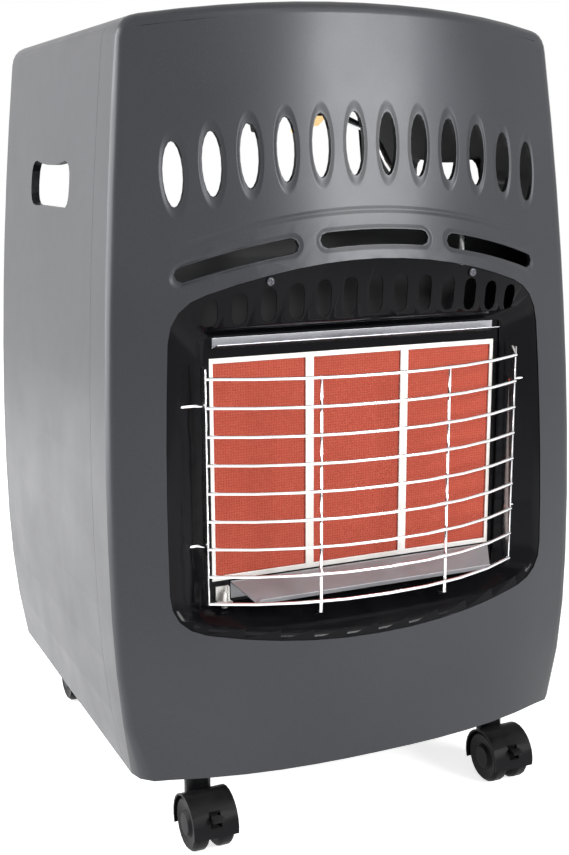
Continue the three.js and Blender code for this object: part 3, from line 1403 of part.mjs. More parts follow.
const casterSpots = [
  { spot: 'front_left', x: -frontCasterX, y: fromRear(frontCasterFromRear), turn: 0, braked: true },
  { spot: 'front_right', x: frontCasterX, y: fromRear(frontCasterFromRear), turn: 0, braked: true },
  { spot: 'rear_left', x: -rearCasterX, y: fromRear(rearCasterFromRear), turn: Math.PI, braked: false },
  { spot: 'rear_right', x: rearCasterX, y: fromRear(rearCasterFromRear), turn: Math.PI, braked: false },
];
const casterPlateBody = makeCasterPlate();
const axle = makeAxle();
const brake = makeBrake();
const wheels = { left: makeWheel(-1), right: makeWheel(1) };
for (const { spot, x, y, turn, braked } of casterSpots) {
  const place = [x, y, 0];
  addPiece(`caster_${spot}_plate`, casterPlateBody, finishes.steel, place, turn);
  addPiece(`caster_${spot}_hood`, makeHood(braked), finishes.blackPlastic, place, turn);
  addPiece(`caster_${spot}_axle`, axle, finishes.steel, place, turn);
  const [left, right] = turn ? [wheels.right, wheels.left] : [wheels.left, wheels.right];
  addPiece(`caster_${spot}_wheel_left`, left, finishes.blackPlastic, place, turn);
  addPiece(`caster_${spot}_wheel_right`, right, finishes.blackPlastic, place, turn);
  if (braked) addPiece(`caster_${spot}_brake`, brake, finishes.blackPlastic, place, turn);
}

export default group;
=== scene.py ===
"""Looks for a portable gas cabinet heater: paint, enamel, chrome, glowing ceramic and moulded
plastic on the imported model, laid out as an add-on with one operator per group of pieces."""

import json
import math

import bpy
from bpy.props import FloatProperty, FloatVectorProperty, PointerProperty
from bpy.types import Operator, Panel, PropertyGroup
from mathutils import Matrix, Vector


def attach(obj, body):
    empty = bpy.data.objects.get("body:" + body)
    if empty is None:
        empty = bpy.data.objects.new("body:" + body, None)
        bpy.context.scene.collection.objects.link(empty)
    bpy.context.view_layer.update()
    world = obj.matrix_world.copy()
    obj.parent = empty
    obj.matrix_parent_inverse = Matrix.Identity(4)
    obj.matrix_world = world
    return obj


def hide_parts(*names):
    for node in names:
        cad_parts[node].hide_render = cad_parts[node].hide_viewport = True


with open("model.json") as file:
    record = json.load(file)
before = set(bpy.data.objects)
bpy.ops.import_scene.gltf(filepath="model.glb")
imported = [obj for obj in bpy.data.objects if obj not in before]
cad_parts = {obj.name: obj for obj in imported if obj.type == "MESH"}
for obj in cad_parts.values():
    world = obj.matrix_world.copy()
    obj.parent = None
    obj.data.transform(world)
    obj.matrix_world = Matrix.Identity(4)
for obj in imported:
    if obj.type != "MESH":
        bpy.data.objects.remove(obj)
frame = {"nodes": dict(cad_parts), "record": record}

bl_info = {
    "name": "Gas cabinet heater looks",
    "version": (1, 0, 0),
    "blender": (4, 5, 0),
    "location": "View3D > Sidebar > Heater",
    "description": "Finishes, lights and camera for a portable gas cabinet heater",
    "category": "Object",
}

NODES = frame["nodes"]
NODE_BODY = {
    node: body
    for body, members in frame["record"]["behaviour"]["bodies"].items() for node in members}
NODE_SLOT = {part["node"]: part["material_slot"] for part in frame["record"]["subparts"]}


# ---------------------------------------------------------------- form of the front, in metres

# the rear plane, the lower and upper end of the sides, and the depth of the corners there
BACK = 0.2249
BOTTOM_Z, CORNER_Z = 0.075, 0.715
BOTTOM_DEPTH, TOP_DEPTH, DEPTH_BULGE = 0.397, 0.361, 0.0055
# how far the middle stands ahead of the corners
FRONT_BOW, BOW_POWER = 0.039, 2.5
# the half width, and what it loses below and above its widest place
WIDEST_HALF, WIDEST_Z = 0.2337, 0.275
LOW_LOSS, LOW_POWER = 0.0153, 2.6
HIGH_LOSS, HIGH_POWER = 0.0296, 1.8
# the arched brow, and the visor that stands proud under it
BROW_Z, BROW_FALL, VISOR_HALF, VISOR_POWER = 0.5615, 0.0317, 0.178, 4
VISOR_PROUD, VISOR_HEIGHT, VISOR_FADE = 0.007, 0.0405, 0.06
# the row of lens-shaped slots
SLOT_COUNT, SLOT_PITCH, SLOT_HALF_WIDTH, SLOT_HALF_HEIGHT = 12, 0.0309, 0.0085, 0.0265
SLOT_ROW_Z, SLOT_ROW_FALL = 0.616, 0.0246
# the three long slots: the middle one ends at LONG_MID, the outer ones start at LONG_INNER
LONG_HALF, LONG_Z, LONG_FALL, LONG_REACH = 0.0065, 0.5388, 0.0295, 0.174
LONG_MID, LONG_INNER = 0.052, 0.071
# the raised rims: the lens rim in shares of the slot, the others in metres
LENS_RIM, LONG_RIM = 1.38, 0.0045
BROW_RIM, BROW_END, BROW_SHARE = 0.0035, 0.05, 0.6
# what counts as the front face when its shading is evened
FACE_MARGIN, FACE_TOLERANCE, FACE_TURN, FACE_STEP = 0.011, 0.0004, -0.7, 0.004
# faces ahead of this plane that look backward look into the cabinet
INSIDE_FRONT_Y = -0.12


def half_width(z):
    """Half the width of the cabinet at a height."""
    if z < WIDEST_Z:
        return WIDEST_HALF - LOW_LOSS * ((WIDEST_Z - z) / (WIDEST_Z - BOTTOM_Z)) ** LOW_POWER
    return WIDEST_HALF - HIGH_LOSS * ((z - WIDEST_Z) / (CORNER_Z - WIDEST_Z)) ** HIGH_POWER


def front_y(x, z):
    """Depth of the front face at a place across and up it."""
    rise = (z - BOTTOM_Z) / (CORNER_Z - BOTTOM_Z)
    bulge = DEPTH_BULGE * 4 * rise * (1 - rise)
    corner = BACK - (BOTTOM_DEPTH + (TOP_DEPTH - BOTTOM_DEPTH) * rise + bulge)
    bow = FRONT_BOW * (1 - min(abs(x) / half_width(z), 1) ** BOW_POWER)
    below = BROW_Z - BROW_FALL * (x / VISOR_HALF) ** 2 - z
    if below <= 0 or abs(x) >= VISOR_HALF:
        return corner - bow
    side = 1 - (x / VISOR_HALF) ** VISOR_POWER
    fade = 1 - min(max((below - VISOR_HEIGHT) / VISOR_FADE, 0), 1)
    return corner - bow - VISOR_PROUD * min(below / VISOR_HEIGHT, 1) * side * fade


def front_normal(x, z, step=FACE_STEP):
    """Outward direction of the front face, averaged over a few millimetres."""
    across = Vector((2 * step, front_y(x + step, z) - front_y(x - step, z), 0))
    upward = Vector((0, front_y(x, z + step) - front_y(x, z - step), 2 * step))
    return across.cross(upward).normalized()


# ---------------------------------------------------------------- settings

class HeaterPaint(PropertyGroup):
    """Cabinet paint and the enamel round the burner"""
    graphite: FloatVectorProperty(
        name="Graphite", description="Colour of the cabinet paint", subtype="COLOR",
        size=3, default=(0.036, 0.037, 0.042), min=0.0, max=1.0)
    graphite_roughness: FloatProperty(
        name="Paint roughness", description="Gloss of the cabinet paint", subtype="FACTOR",
        default=0.36, min=0.0, max=1.0)
    flake_size: FloatProperty(
        name="Flake size", description="Size of the flakes in the paint", subtype="DISTANCE",
        unit="LENGTH", default=0.0012, min=0.0001, max=0.01)
    enamel: FloatVectorProperty(
        name="Enamel", description="Colour of the burner surround", subtype="COLOR",
        size=3, default=(0.004, 0.004, 0.005), min=0.0, max=1.0)


class HeaterBurner(PropertyGroup):
    """Ceramic tiles and the metal round them"""
    tile: FloatVectorProperty(
        name="Tile", description="Colour of the hot ceramic", subtype="COLOR",
        size=3, default=(0.40, 0.066, 0.040), min=0.0, max=1.0)
    glow: FloatProperty(
        name="Glow", description="Light given off by the tiles", default=0.17, min=0.0, max=5.0)
    hole_pitch: FloatProperty(
        name="Hole pitch", description="Distance between the holes in the tiles",
        subtype="DISTANCE", unit="LENGTH", default=0.0024, min=0.0005, max=0.02)
    steel: FloatVectorProperty(
        name="Steel", description="Colour of the burner's steel", subtype="COLOR",
        size=3, default=(0.72, 0.71, 0.69), min=0.0, max=1.0)


class HeaterTrim(PropertyGroup):
    """Chrome, plastics and fittings"""
    chrome: FloatVectorProperty(
        name="Chrome", description="Colour of the wire guard", subtype="COLOR",
        size=3, default=(0.90, 0.90, 0.91), min=0.0, max=1.0)
    plastic: FloatVectorProperty(
        name="Plastic", description="Colour of the casters and controls", subtype="COLOR",
        size=3, default=(0.007, 0.007, 0.008), min=0.0, max=1.0)
    button: FloatVectorProperty(
        name="Button", description="Colour of the igniter button", subtype="COLOR",
        size=3, default=(0.42, 0.03, 0.02), min=0.0, max=1.0)


class HeaterStage(PropertyGroup):
    """Floor, lights and camera"""
    floor: FloatVectorProperty(
        name="Floor", description="Colour of the floor", subtype="COLOR",
        size=3, default=(0.93, 0.93, 0.93), min=0.0, max=1.0)
    key_power: FloatProperty(
        name="Key light", description="Power of the soft light above the front",
        subtype="POWER", default=12.0, min=0.0, max=1000.0)
    side_power: FloatProperty(
        name="Side light", description="Power of the large soft light at the left",
        subtype="POWER", default=118.0, min=0.0, max=1000.0)
    front_power: FloatProperty(
        name="Front light", description="Power of the soft light that shows in the front",
        subtype="POWER", default=38.0, min=0.0, max=1000.0)
    camera_place: FloatVectorProperty(
        name="Camera", description="Place of the camera", subtype="TRANSLATION",
        unit="LENGTH", size=3, default=(-0.5275, -1.1621, 0.6059))
    camera_heading: FloatProperty(
        name="Heading", description="Turn of the view to the right of straight back",
        subtype="ANGLE", default=math.radians(24.5))
    camera_pitch: FloatProperty(
        name="Pitch", description="Fall of the view below level", subtype="ANGLE",
        default=math.radians(12.5))
    camera_roll: FloatProperty(
        name="Roll", description="Tilt of the camera", subtype="ANGLE",
        default=math.radians(-0.19))
    camera_lens: FloatProperty(
        name="Lens", description="Focal length", subtype="DISTANCE_CAMERA",
        default=54.16, min=10.0, max=300.0)


SETTINGS = {
    "heater_paint": HeaterPaint,
    "heater_burner": HeaterBurner,
    "heater_trim": HeaterTrim,
    "heater_stage": HeaterStage,
}


# ---------------------------------------------------------------- node group tools

def feed(tree, socket, value):
    """A link into the socket, or a plain value on it."""
    if isinstance(value, bpy.types.NodeSocket):
        tree.links.new(value, socket)
    else:
        socket.default_value = value


def group_with(name, inputs, outputs):
    """An empty node group with the named sockets, and its ends."""
    group = bpy.data.node_groups.new(name, "ShaderNodeTree")
    for socket, (kind, default) in inputs.items():
        made = group.interface.new_socket(socket, in_out="INPUT", socket_type=kind)
        made.default_value = default
    for socket, kind in outputs.items():
        group.interface.new_socket(socket, in_out="OUTPUT", socket_type=kind)
    return group, group.nodes.new("NodeGroupInput"), group.nodes.new("NodeGroupOutput")


def noise(tree, vector, scale, detail=2.0, roughness=0.5):
    """Value of a noise texture at a place, at a scale per metre."""
    node = tree.nodes.new("ShaderNodeTexNoise")
    feed(tree, node.inputs["Vector"], vector)
    feed(tree, node.inputs["Scale"], scale)
    node.inputs["Detail"].default_value = detail
    node.inputs["Roughness"].default_value = roughness
    return node.outputs["Fac"]


def spread(tree, value, low, high, to_low=0.0, to_high=1.0, smooth=False):
    """The value stretched from one range onto another."""
    node = tree.nodes.new("ShaderNodeMapRange")
    node.interpolation_type = "SMOOTHSTEP" if smooth else "LINEAR"
    feed(tree, node.inputs["Value"], value)
    ends = {"From Min": low, "From Max": high, "To Min": to_low, "To Max": to_high}
    for socket, amount in ends.items():
        feed(tree, node.inputs[socket], amount)
    return node.outputs["Result"]


def blend_colour(tree, factor, first, second, mode="MIX"):
    """Two colours blended by a factor, through the mix node's colour sockets."""
    node = tree.nodes.new("ShaderNodeMix")
    node.data_type = "RGBA"
    node.blend_type = mode
    for index, value in ((0, factor), (6, first), (7, second)):
        feed(tree, node.inputs[index], value)
    return node.outputs[2]


def calculate(tree, operation, first, second=0.0):
    """Result of one step of arithmetic."""
    node = tree.nodes.new("ShaderNodeMath")
    node.operation = operation
    feed(tree, node.inputs[0], first)
    feed(tree, node.inputs[1], second)
    return node.outputs[0]


def object_place(tree):
    """Place of the shaded point in the object's own frame."""
    return tree.nodes.new("ShaderNodeTexCoord").outputs["Object"]


def make_paint_flake():
    """Fine flakes and a slow cloudiness in a sprayed finish."""
    group, start, end = group_with(
        "paint_flake",
        {"Colour": ("NodeSocketColor", (0.1, 0.1, 0.1, 1)),
         "Fleck": ("NodeSocketColor", (0.2, 0.2, 0.2, 1)),
         "Scale": ("NodeSocketFloat", 800.0)},
        {"Colour": "NodeSocketColor", "Mask": "NodeSocketFloat"})
    place = object_place(group)
    fine = spread(group, noise(group, place, start.outputs["Scale"], 3.0, 0.6), 0.5, 0.75)
    cloud = spread(group, noise(group, place, 5.0, 2.0), 0.35, 0.65, 0.0, 0.25)
    mask = calculate(group, "ADD", calculate(group, "MULTIPLY", fine, 0.5), cloud)
    flecked = blend_colour(group, mask, start.outputs["Colour"], start.outputs["Fleck"])
    group.links.new(flecked, end.inputs["Colour"])
    group.links.new(mask, end.inputs["Mask"])
    return group


def make_surface_grain():
    """Small relief of a moulded, cast or sprayed surface, with patchy polish."""
    group, start, end = group_with(
        "surface_grain",
        {"Scale": ("NodeSocketFloat", 900.0), "Low": ("NodeSocketFloat", 0.3),
         "High": ("NodeSocketFloat", 0.5)},
        {"Height": "NodeSocketFloat", "Roughness": "NodeSocketFloat"})
    place = object_place(group)
    fine = noise(group, place, start.outputs["Scale"], 4.0, 0.55)
    patch = noise(group, place, 14.0, 3.0)
    polish = spread(group, patch, 0.3, 0.7, start.outputs["Low"], start.outputs["High"])
    group.links.new(fine, end.inputs["Height"])
    group.links.new(polish, end.inputs["Roughness"])
    return group


def make_pressed_edges():
    """Height of the front face where it is pressed round the slots and along the brow."""
    group, start, end = group_with(
        "pressed_edges", {"Depth": ("NodeSocketFloat", 0.001)}, {"Height": "NodeSocketFloat"})
    split = group.nodes.new("ShaderNodeSeparateXYZ")
    group.links.new(object_place(group), split.inputs[0])
    across, up = split.outputs["X"], split.outputs["Z"]

    def math_of(operation, first, second=0.0):
        return calculate(group, operation, first, second)

    def length_of(first, second):
        squares = (math_of("POWER", first, 2.0), math_of("POWER", second, 2.0))
        return math_of("SQRT", math_of("ADD", *squares))

    def above_arch(place, height, fall, reach):
        square = math_of("POWER", math_of("ABSOLUTE", place), 2.0)
        drop = math_of("MULTIPLY", square, fall / reach ** 2)
        return math_of("SUBTRACT", math_of("ADD", up, drop), height)

    half_count = SLOT_COUNT / 2
    cell = math_of("FLOOR", math_of("ADD", math_of("DIVIDE", across, SLOT_PITCH), half_count))
    cell = math_of("MINIMUM", math_of("MAXIMUM", cell, 0.0), SLOT_COUNT - 1.0)
    middle = math_of("MULTIPLY", math_of("SUBTRACT", cell, half_count - 0.5), SLOT_PITCH)
    reach = (half_count - 0.5) * SLOT_PITCH
    lens_across = math_of("DIVIDE", math_of("SUBTRACT", across, middle), SLOT_HALF_WIDTH)
    lens_up = above_arch(middle, SLOT_ROW_Z, SLOT_ROW_FALL, reach)
    lens = length_of(lens_across, math_of("DIVIDE", lens_up, SLOT_HALF_HEIGHT))
    lens_rim = spread(group, lens, 1.0, LENS_RIM, smooth=True)

    long_up = above_arch(across, LONG_Z, LONG_FALL, LONG_REACH)
    side = math_of("ABSOLUTE", across)
    past_middle = math_of("MAXIMUM", math_of("SUBTRACT", side, LONG_MID - LONG_HALF), 0.0)
    outer_middle = (LONG_REACH + LONG_INNER) / 2
    outer_half = (LONG_REACH - LONG_INNER) / 2 - LONG_HALF
    from_outer = math_of("ABSOLUTE", math_of("SUBTRACT", side, outer_middle))
    past_outer = math_of("MAXIMUM", math_of("SUBTRACT", from_outer, outer_half), 0.0)
    nearest = math_of("MINIMUM", length_of(past_middle, long_up), length_of(past_outer, long_up))
    long_rim = spread(group, nearest, LONG_HALF, LONG_HALF + LONG_RIM, smooth=True)

    brow_up = math_of("ABSOLUTE", above_arch(across, BROW_Z, BROW_FALL, VISOR_HALF))
    brow = spread(group, brow_up, 0.0, BROW_RIM, smooth=True)
    brow_end = spread(group, side, VISOR_HALF - BROW_END, VISOR_HALF, smooth=True)
    brow = math_of("MULTIPLY", math_of("MAXIMUM", brow, brow_end), BROW_SHARE)
    total = math_of("ADD", math_of("ADD", lens_rim, long_rim), brow)
    group.links.new(math_of("MULTIPLY", total, start.outputs["Depth"]), end.inputs["Height"])
    return group


def make_inside_shade_mask():
    """One on faces that look into the cabinet, where the paint is darkened as painted shade."""
    group, start, end = group_with(
        "inside_mask", {"Edge": ("NodeSocketFloat", 0.2)}, {"Mask": "NodeSocketFloat"})
    facing = group.nodes.new("ShaderNodeSeparateXYZ")
    geometry = group.nodes.new("ShaderNodeNewGeometry")
    group.links.new(geometry.outputs["True Normal"], facing.inputs[0])
    place = group.nodes.new("ShaderNodeSeparateXYZ")
    group.links.new(object_place(group), place.inputs[0])
    side = calculate(group, "SIGN", place.outputs["X"])
    outward = calculate(group, "MULTIPLY", facing.outputs["X"], side)
    inward = calculate(group, "MULTIPLY", outward, -1.0)
    down = calculate(group, "MULTIPLY", facing.outputs["Z"], -1.0)
    in_front = calculate(group, "LESS_THAN", place.outputs["Y"], INSIDE_FRONT_Y)
    back = calculate(group, "MULTIPLY", facing.outputs["Y"], in_front)
    most = calculate(group, "MAXIMUM", calculate(group, "MAXIMUM", inward, down), back)
    mask = calculate(group, "GREATER_THAN", most, start.outputs["Edge"])
    group.links.new(mask, end.inputs["Mask"])
    return group


def make_brushed_lines():
    """Long fine scratches along X of rolled or brushed metal."""
    group, start, end = group_with(
        "brushed_lines",
        {"Low": ("NodeSocketFloat", 0.2), "High": ("NodeSocketFloat", 0.45),
         "Colour": ("NodeSocketColor", (0.6, 0.6, 0.6, 1))},
        {"Height": "NodeSocketFloat", "Roughness": "NodeSocketFloat",
         "Colour": "NodeSocketColor"})
    stretch = group.nodes.new("ShaderNodeMapping")
    stretch.inputs["Scale"].default_value = BRUSH_SCALE
    group.links.new(object_place(group), stretch.inputs["Vector"])
    lines = noise(group, stretch.outputs["Vector"], 1.0, 3.0, 0.6)
    stain = spread(group, noise(group, object_place(group), 22.0, 3.0), 0.35, 0.75, 0.0, 0.35)
    darker = blend_colour(group, stain, start.outputs["Colour"], STAIN_COLOUR, "MULTIPLY")
    polish = spread(group, lines, 0.3, 0.7, start.outputs["Low"], start.outputs["High"])
    group.links.new(lines, end.inputs["Height"])
    group.links.new(polish, end.inputs["Roughness"])
    group.links.new(darker, end.inputs["Colour"])
    return group


def make_dust_film():
    """A thin film of dust that gathers on upward faces."""
    group, start, end = group_with(
        "dust_film",
        {"Colour": ("NodeSocketColor", (0.5, 0.5, 0.5, 1)), "Amount": ("NodeSocketFloat", 0.15)},
        {"Colour": "NodeSocketColor", "Mask": "NodeSocketFloat"})
    split = group.nodes.new("ShaderNodeSeparateXYZ")
    group.links.new(group.nodes.new("ShaderNodeNewGeometry").outputs["Normal"], split.inputs[0])
    upward = spread(group, split.outputs["Z"], 0.4, 1.0)
    patch = spread(group, noise(group, object_place(group), 30.0, 4.0), 0.35, 0.7)
    settled = calculate(group, "MULTIPLY", upward, patch)
    mask = calculate(group, "MULTIPLY", settled, start.outputs["Amount"])
    dusty = blend_colour(group, mask, start.outputs["Colour"], DUST_COLOUR)
    group.links.new(dusty, end.inputs["Colour"])
    group.links.new(mask, end.inputs["Mask"])
    return group


GROUP_MAKERS = {
    "paint_flake": make_paint_flake,
    "surface_grain": make_surface_grain,
    "pressed_edges": make_pressed_edges,
    "inside_mask": make_inside_shade_mask,
    "brushed_lines": make_brushed_lines,
    "dust_film": make_dust_film,
}


def use_group(tree, name, **values):
    """A node that runs the named group, with its own values."""
    node = tree.nodes.new("ShaderNodeGroup")
    node.node_tree = bpy.data.node_groups.get(name) or GROUP_MAKERS[name]()
    for socket, value in values.items():
        feed(tree, node.inputs[socket], value)
    return node


def rgba(colour):
    return (*colour, 1.0)


def scaled(colour, factor):
    return tuple(value * factor for value in colour)


def start_material(name, **values):
    """A material with its principled shader, with plain values set on the shader itself."""
    material = bpy.data.materials.new(name)
    material.use_nodes = True
    tree = material.node_tree
    shader = tree.nodes["Principled BSDF"]
    for socket, value in values.items():
        shader.inputs[socket.replace("_", " ")].default_value = value
    return material, tree, shader


def add_relief(tree, shader, height, distance, strength=1.0, under=None):
    """Bump of a height in metres, laid over the normal that is given as under."""
    bump = tree.nodes.new("ShaderNodeBump")
    if under:
        tree.links.new(under, bump.inputs["Normal"])
    bump.inputs["Strength"].default_value = strength
    bump.inputs["Distance"].default_value = distance
    tree.links.new(height, bump.inputs["Height"])
    tree.links.new(bump.outputs["Normal"], shader.inputs["Normal"])
    return bump.outputs["Normal"]


# ---------------------------------------------------------------- finishes

BRUSH_SCALE = (6.0, 900.0, 900.0)
STAIN_COLOUR = (0.55, 0.54, 0.52, 1)
DUST_COLOUR = (0.42, 0.40, 0.37, 1)
HEAT_TINT = (0.55, 0.43, 0.33, 1)
# heights of the reliefs, in metres
PRESS_DEPTH, PAINT_RELIEF, ENAMEL_RELIEF, TILE_RELIEF = 0.0012, 0.00004, 0.00005, 0.0006
STEEL_RELIEF, PLATED_RELIEF, MOULDED_RELIEF, GLOSSY_RELIEF = 0.00003, 0.00002, 0.00006, 0.00002
# the paint's flecks against its colour, and the painted shade and dullness of its inside
FLECK_GAIN, INSIDE_SHADE, INSIDE_DULLNESS = 1.5, 0.15, 0.9


def body_paint(scene, pressed=False):
    """Sprayed graphite paint with painted shade on the faces that look into the cabinet; the
    pressed one has raised edges round the front's slots.
    """
    paint = scene.heater_paint
    material, tree, shader = start_material(
        "graphite_paint", Metallic=0.25, Coat_Weight=0.12, Coat_Roughness=0.2,
        Specular_IOR_Level=0.19)
    fleck = tuple(min(1.0, value) for value in scaled(paint.graphite, FLECK_GAIN))
    flake = use_group(
        tree, "paint_flake", Colour=rgba(paint.graphite), Fleck=rgba(fleck),
        Scale=1.0 / paint.flake_size)
    dust = use_group(tree, "dust_film", Colour=flake.outputs["Colour"], Amount=0.06)
    grain = use_group(
        tree, "surface_grain", Scale=700.0,
        Low=paint.graphite_roughness - 0.03, High=paint.graphite_roughness + 0.05)
    # painted shade: faces that look into the cabinet get a much darker paint colour, and a duller
    # one
    inside = use_group(tree, "inside_mask", Edge=0.2).outputs["Mask"]
    shaded = rgba(scaled(paint.graphite, INSIDE_SHADE))
    colour = blend_colour(tree, inside, dust.outputs["Colour"], shaded)
    tree.links.new(colour, shader.inputs["Base Color"])
    dulled = calculate(tree, "MULTIPLY", inside, INSIDE_DULLNESS)
    rough = calculate(tree, "MAXIMUM", grain.outputs["Roughness"], dulled)
    tree.links.new(rough, shader.inputs["Roughness"])
    edges = None
    if pressed:
        press = use_group(tree, "pressed_edges", Depth=PRESS_DEPTH)
        edges = add_relief(tree, shader, press.outputs["Height"], 1.0)
    add_relief(tree, shader, grain.outputs["Height"], PAINT_RELIEF, 0.5, under=edges)
    return material


def pressed_paint(scene):
    return body_paint(scene, pressed=True)


def gloss_enamel(scene):
    """Black enamel round the burner."""
    material, tree, shader = start_material(
        "gloss_black_enamel", Coat_Weight=0.04, Coat_Roughness=0.05, Specular_IOR_Level=0.06)
    dust = use_group(tree, "dust_film", Colour=rgba(scene.heater_paint.enamel), Amount=0.012)
    grain = use_group(tree, "surface_grain", Scale=260.0, Low=0.12, High=0.2)
    tree.links.new(dust.outputs["Colour"], shader.inputs["Base Color"])
    tree.links.new(grain.outputs["Roughness"], shader.inputs["Roughness"])
    add_relief(tree, shader, grain.outputs["Height"], ENAMEL_RELIEF, 0.4)
    return material


def hot_ceramic(scene):
    """Glowing ceramic with a field of small holes, which are painted darker as painted shade."""
    burner = scene.heater_burner
    material, tree, shader = start_material(
        "hot_ceramic", Emission_Strength=burner.glow, Specular_IOR_Level=0.2)
    place = object_place(tree)
    holes = tree.nodes.new("ShaderNodeTexVoronoi")
    holes.inputs["Scale"].default_value = 1.0 / burner.hole_pitch
    holes.inputs["Randomness"].default_value = 0.25
    tree.links.new(place, holes.inputs["Vector"])
    pit = spread(tree, holes.outputs["Distance"], 0.05, 0.4)
    cloud = spread(tree, noise(tree, place, 26.0, 4.0, 0.65), 0.3, 0.7)
    speck = spread(tree, noise(tree, place, 420.0, 3.0, 0.7), 0.38, 0.66)
    deep = scaled(burner.tile, 0.72)
    pale = (min(1.0, burner.tile[0] * 1.1), burner.tile[1] * 1.4, burner.tile[2] * 1.5)
    face = blend_colour(tree, speck, rgba(burner.tile), rgba(pale))
    face = blend_colour(tree, calculate(tree, "MULTIPLY", cloud, 0.35), face, rgba(deep))
    # painted shade: the holes take the deeper tile colour, which also glows less
    face = blend_colour(tree, pit, rgba(deep), face)
    tree.links.new(face, shader.inputs["Base Color"])
    tree.links.new(face, shader.inputs["Emission Color"])
    tree.links.new(spread(tree, speck, 0.0, 1.0, 0.8, 0.95), shader.inputs["Roughness"])
    add_relief(tree, shader, pit, TILE_RELIEF, 0.7)
    return material


def steel_finish(_scene, name, colour, low, high, metallic):
    """Brushed or rolled steel, with its roughness between low and high."""
    material, tree, shader = start_material(name, Metallic=metallic)
    lines = use_group(tree, "brushed_lines", Low=low, High=high, Colour=rgba(colour))
    tree.links.new(lines.outputs["Colour"], shader.inputs["Base Color"])
    tree.links.new(lines.outputs["Roughness"], shader.inputs["Roughness"])
    add_relief(tree, shader, lines.outputs["Height"], STEEL_RELIEF, 0.5)
    return material


def burner_steel(scene):
    """The burner's steel, browned in patches by the heat."""
    material, tree, shader = start_material("burner_steel", Metallic=0.55)
    steel = rgba(scene.heater_burner.steel)
    lines = use_group(tree, "brushed_lines", Low=0.32, High=0.5, Colour=steel)
    heat = spread(tree, noise(tree, object_place(tree), 34.0, 3.0), 0.45, 0.8, 0.0, 0.3)
    tint = blend_colour(tree, heat, lines.outputs["Colour"], HEAT_TINT)
    tree.links.new(tint, shader.inputs["Base Color"])
    tree.links.new(lines.outputs["Roughness"], shader.inputs["Roughness"])
    add_relief(tree, shader, lines.outputs["Height"], STEEL_RELIEF, 0.4)
    return material


def trim_colour(scene, colour):
    """A colour, or the trim setting that a name stands for."""
    return tuple(getattr(scene.heater_trim, colour)) if isinstance(colour, str) else colour


def shiny_finish(scene, name, colour, low, high):
    """Plated or polished metal with dull patches, its roughness between low and high."""
    material, tree, shader = start_material(name, Metallic=1.0)
    colour = trim_colour(scene, colour)
    grain = use_group(tree, "surface_grain", Scale=500.0, Low=low, High=high)
    patch = spread(tree, noise(tree, object_place(tree), 60.0, 3.0), 0.4, 0.8, 0.0, 0.25)
    dull = blend_colour(tree, patch, rgba(colour), rgba(scaled(colour, 0.6)))
    tree.links.new(dull, shader.inputs["Base Color"])
    tree.links.new(grain.outputs["Roughness"], shader.inputs["Roughness"])
    add_relief(tree, shader, grain.outputs["Height"], PLATED_RELIEF, 0.4)
    return material


def moulded_plastic(scene, name, colour, low, high, relief):
    """Moulded plastic with a little dust, its roughness between low and high."""
    material, tree, shader = start_material(name, Specular_IOR_Level=0.07)
    grain = use_group(tree, "surface_grain", Scale=1400.0, Low=low, High=high)
    dust = use_group(
        tree, "dust_film", Colour=rgba(trim_colour(scene, colour)), Amount=0.05)
    tree.links.new(dust.outputs["Colour"], shader.inputs["Base Color"])
    tree.links.new(grain.outputs["Roughness"], shader.inputs["Roughness"])
    add_relief(tree, shader, grain.outputs["Height"], relief, 0.6)
    return material


# each slot's finish: the function that makes it, and what the function takes after the scene
FINISHES = {
    "body_paint": (body_paint,),
    "front_paint": (pressed_paint,),
    "bezel_black": (gloss_enamel,),
    "ceramic": (hot_ceramic,),
    "burner_steel": (burner_steel,),
    "shield_steel": (steel_finish, "blackened_steel", (0.022, 0.022, 0.024), 0.45, 0.6, 0.3),
    "reflector_brushed": (steel_finish, "brushed_reflector", (0.36, 0.36, 0.38), 0.4, 0.55, 0.45),
    "reflector_bright": (shiny_finish, "bright_reflector", (0.30, 0.30, 0.32), 0.2, 0.3),
    "guard_chrome": (shiny_finish, "plated_wire", "chrome", 0.14, 0.24),
    "brass": (shiny_finish, "turned_brass", (0.66, 0.45, 0.17), 0.2, 0.34),
    "tube_steel": (shiny_finish, "aluminium_tube", (0.62, 0.62, 0.63), 0.25, 0.4),
    "screw_steel": (shiny_finish, "plated_screw", (0.09, 0.09, 0.10), 0.3, 0.42),
    "caster_steel": (shiny_finish, "plated_fork", (0.52, 0.52, 0.53), 0.28, 0.42),
    "caster_black": (moulded_plastic, "caster_plastic", "plastic", 0.3, 0.42, MOULDED_RELIEF),
    "wheel_black": (moulded_plastic, "wheel_plastic", "plastic", 0.36, 0.5, MOULDED_RELIEF),
    "control_black": (moulded_plastic, "control_plastic", "plastic", 0.42, 0.56, MOULDED_RELIEF),
    "button_red": (moulded_plastic, "button_plastic", "button", 0.18, 0.3, GLOSSY_RELIEF),
}


def finish_for(scene, slot_name):
    """The slot's material, made at its first use."""
    key = "finish_" + slot_name
    name = scene.get(key)
    if name and name in bpy.data.materials:
        return bpy.data.materials[name]
    maker, *values = FINISHES[slot_name]
    material = maker(scene, *values)
    scene[key] = material.name
    return material


# ---------------------------------------------------------------- pieces

# distance within which corners are welded, in metres
WELD = 0.000004
# angles in degrees up to which an edge is shaded smooth, and from which it is rounded
SHEET_SMOOTH, BEZEL_SMOOTH, PAN_SMOOTH = 24, 28, 30
PART_SMOOTH, TUBE_SMOOTH, WIRE_SMOOTH = 35, 50, 80
ROUNDED_FROM = 40
# widths of the rounded edges, in metres
FINE_EDGE, MOULDED_EDGE = 0.0003, 0.0004


def select_only(piece):
    bpy.ops.object.select_all(action="DESELECT")
    piece.select_set(True)
    bpy.context.view_layer.objects.active = piece


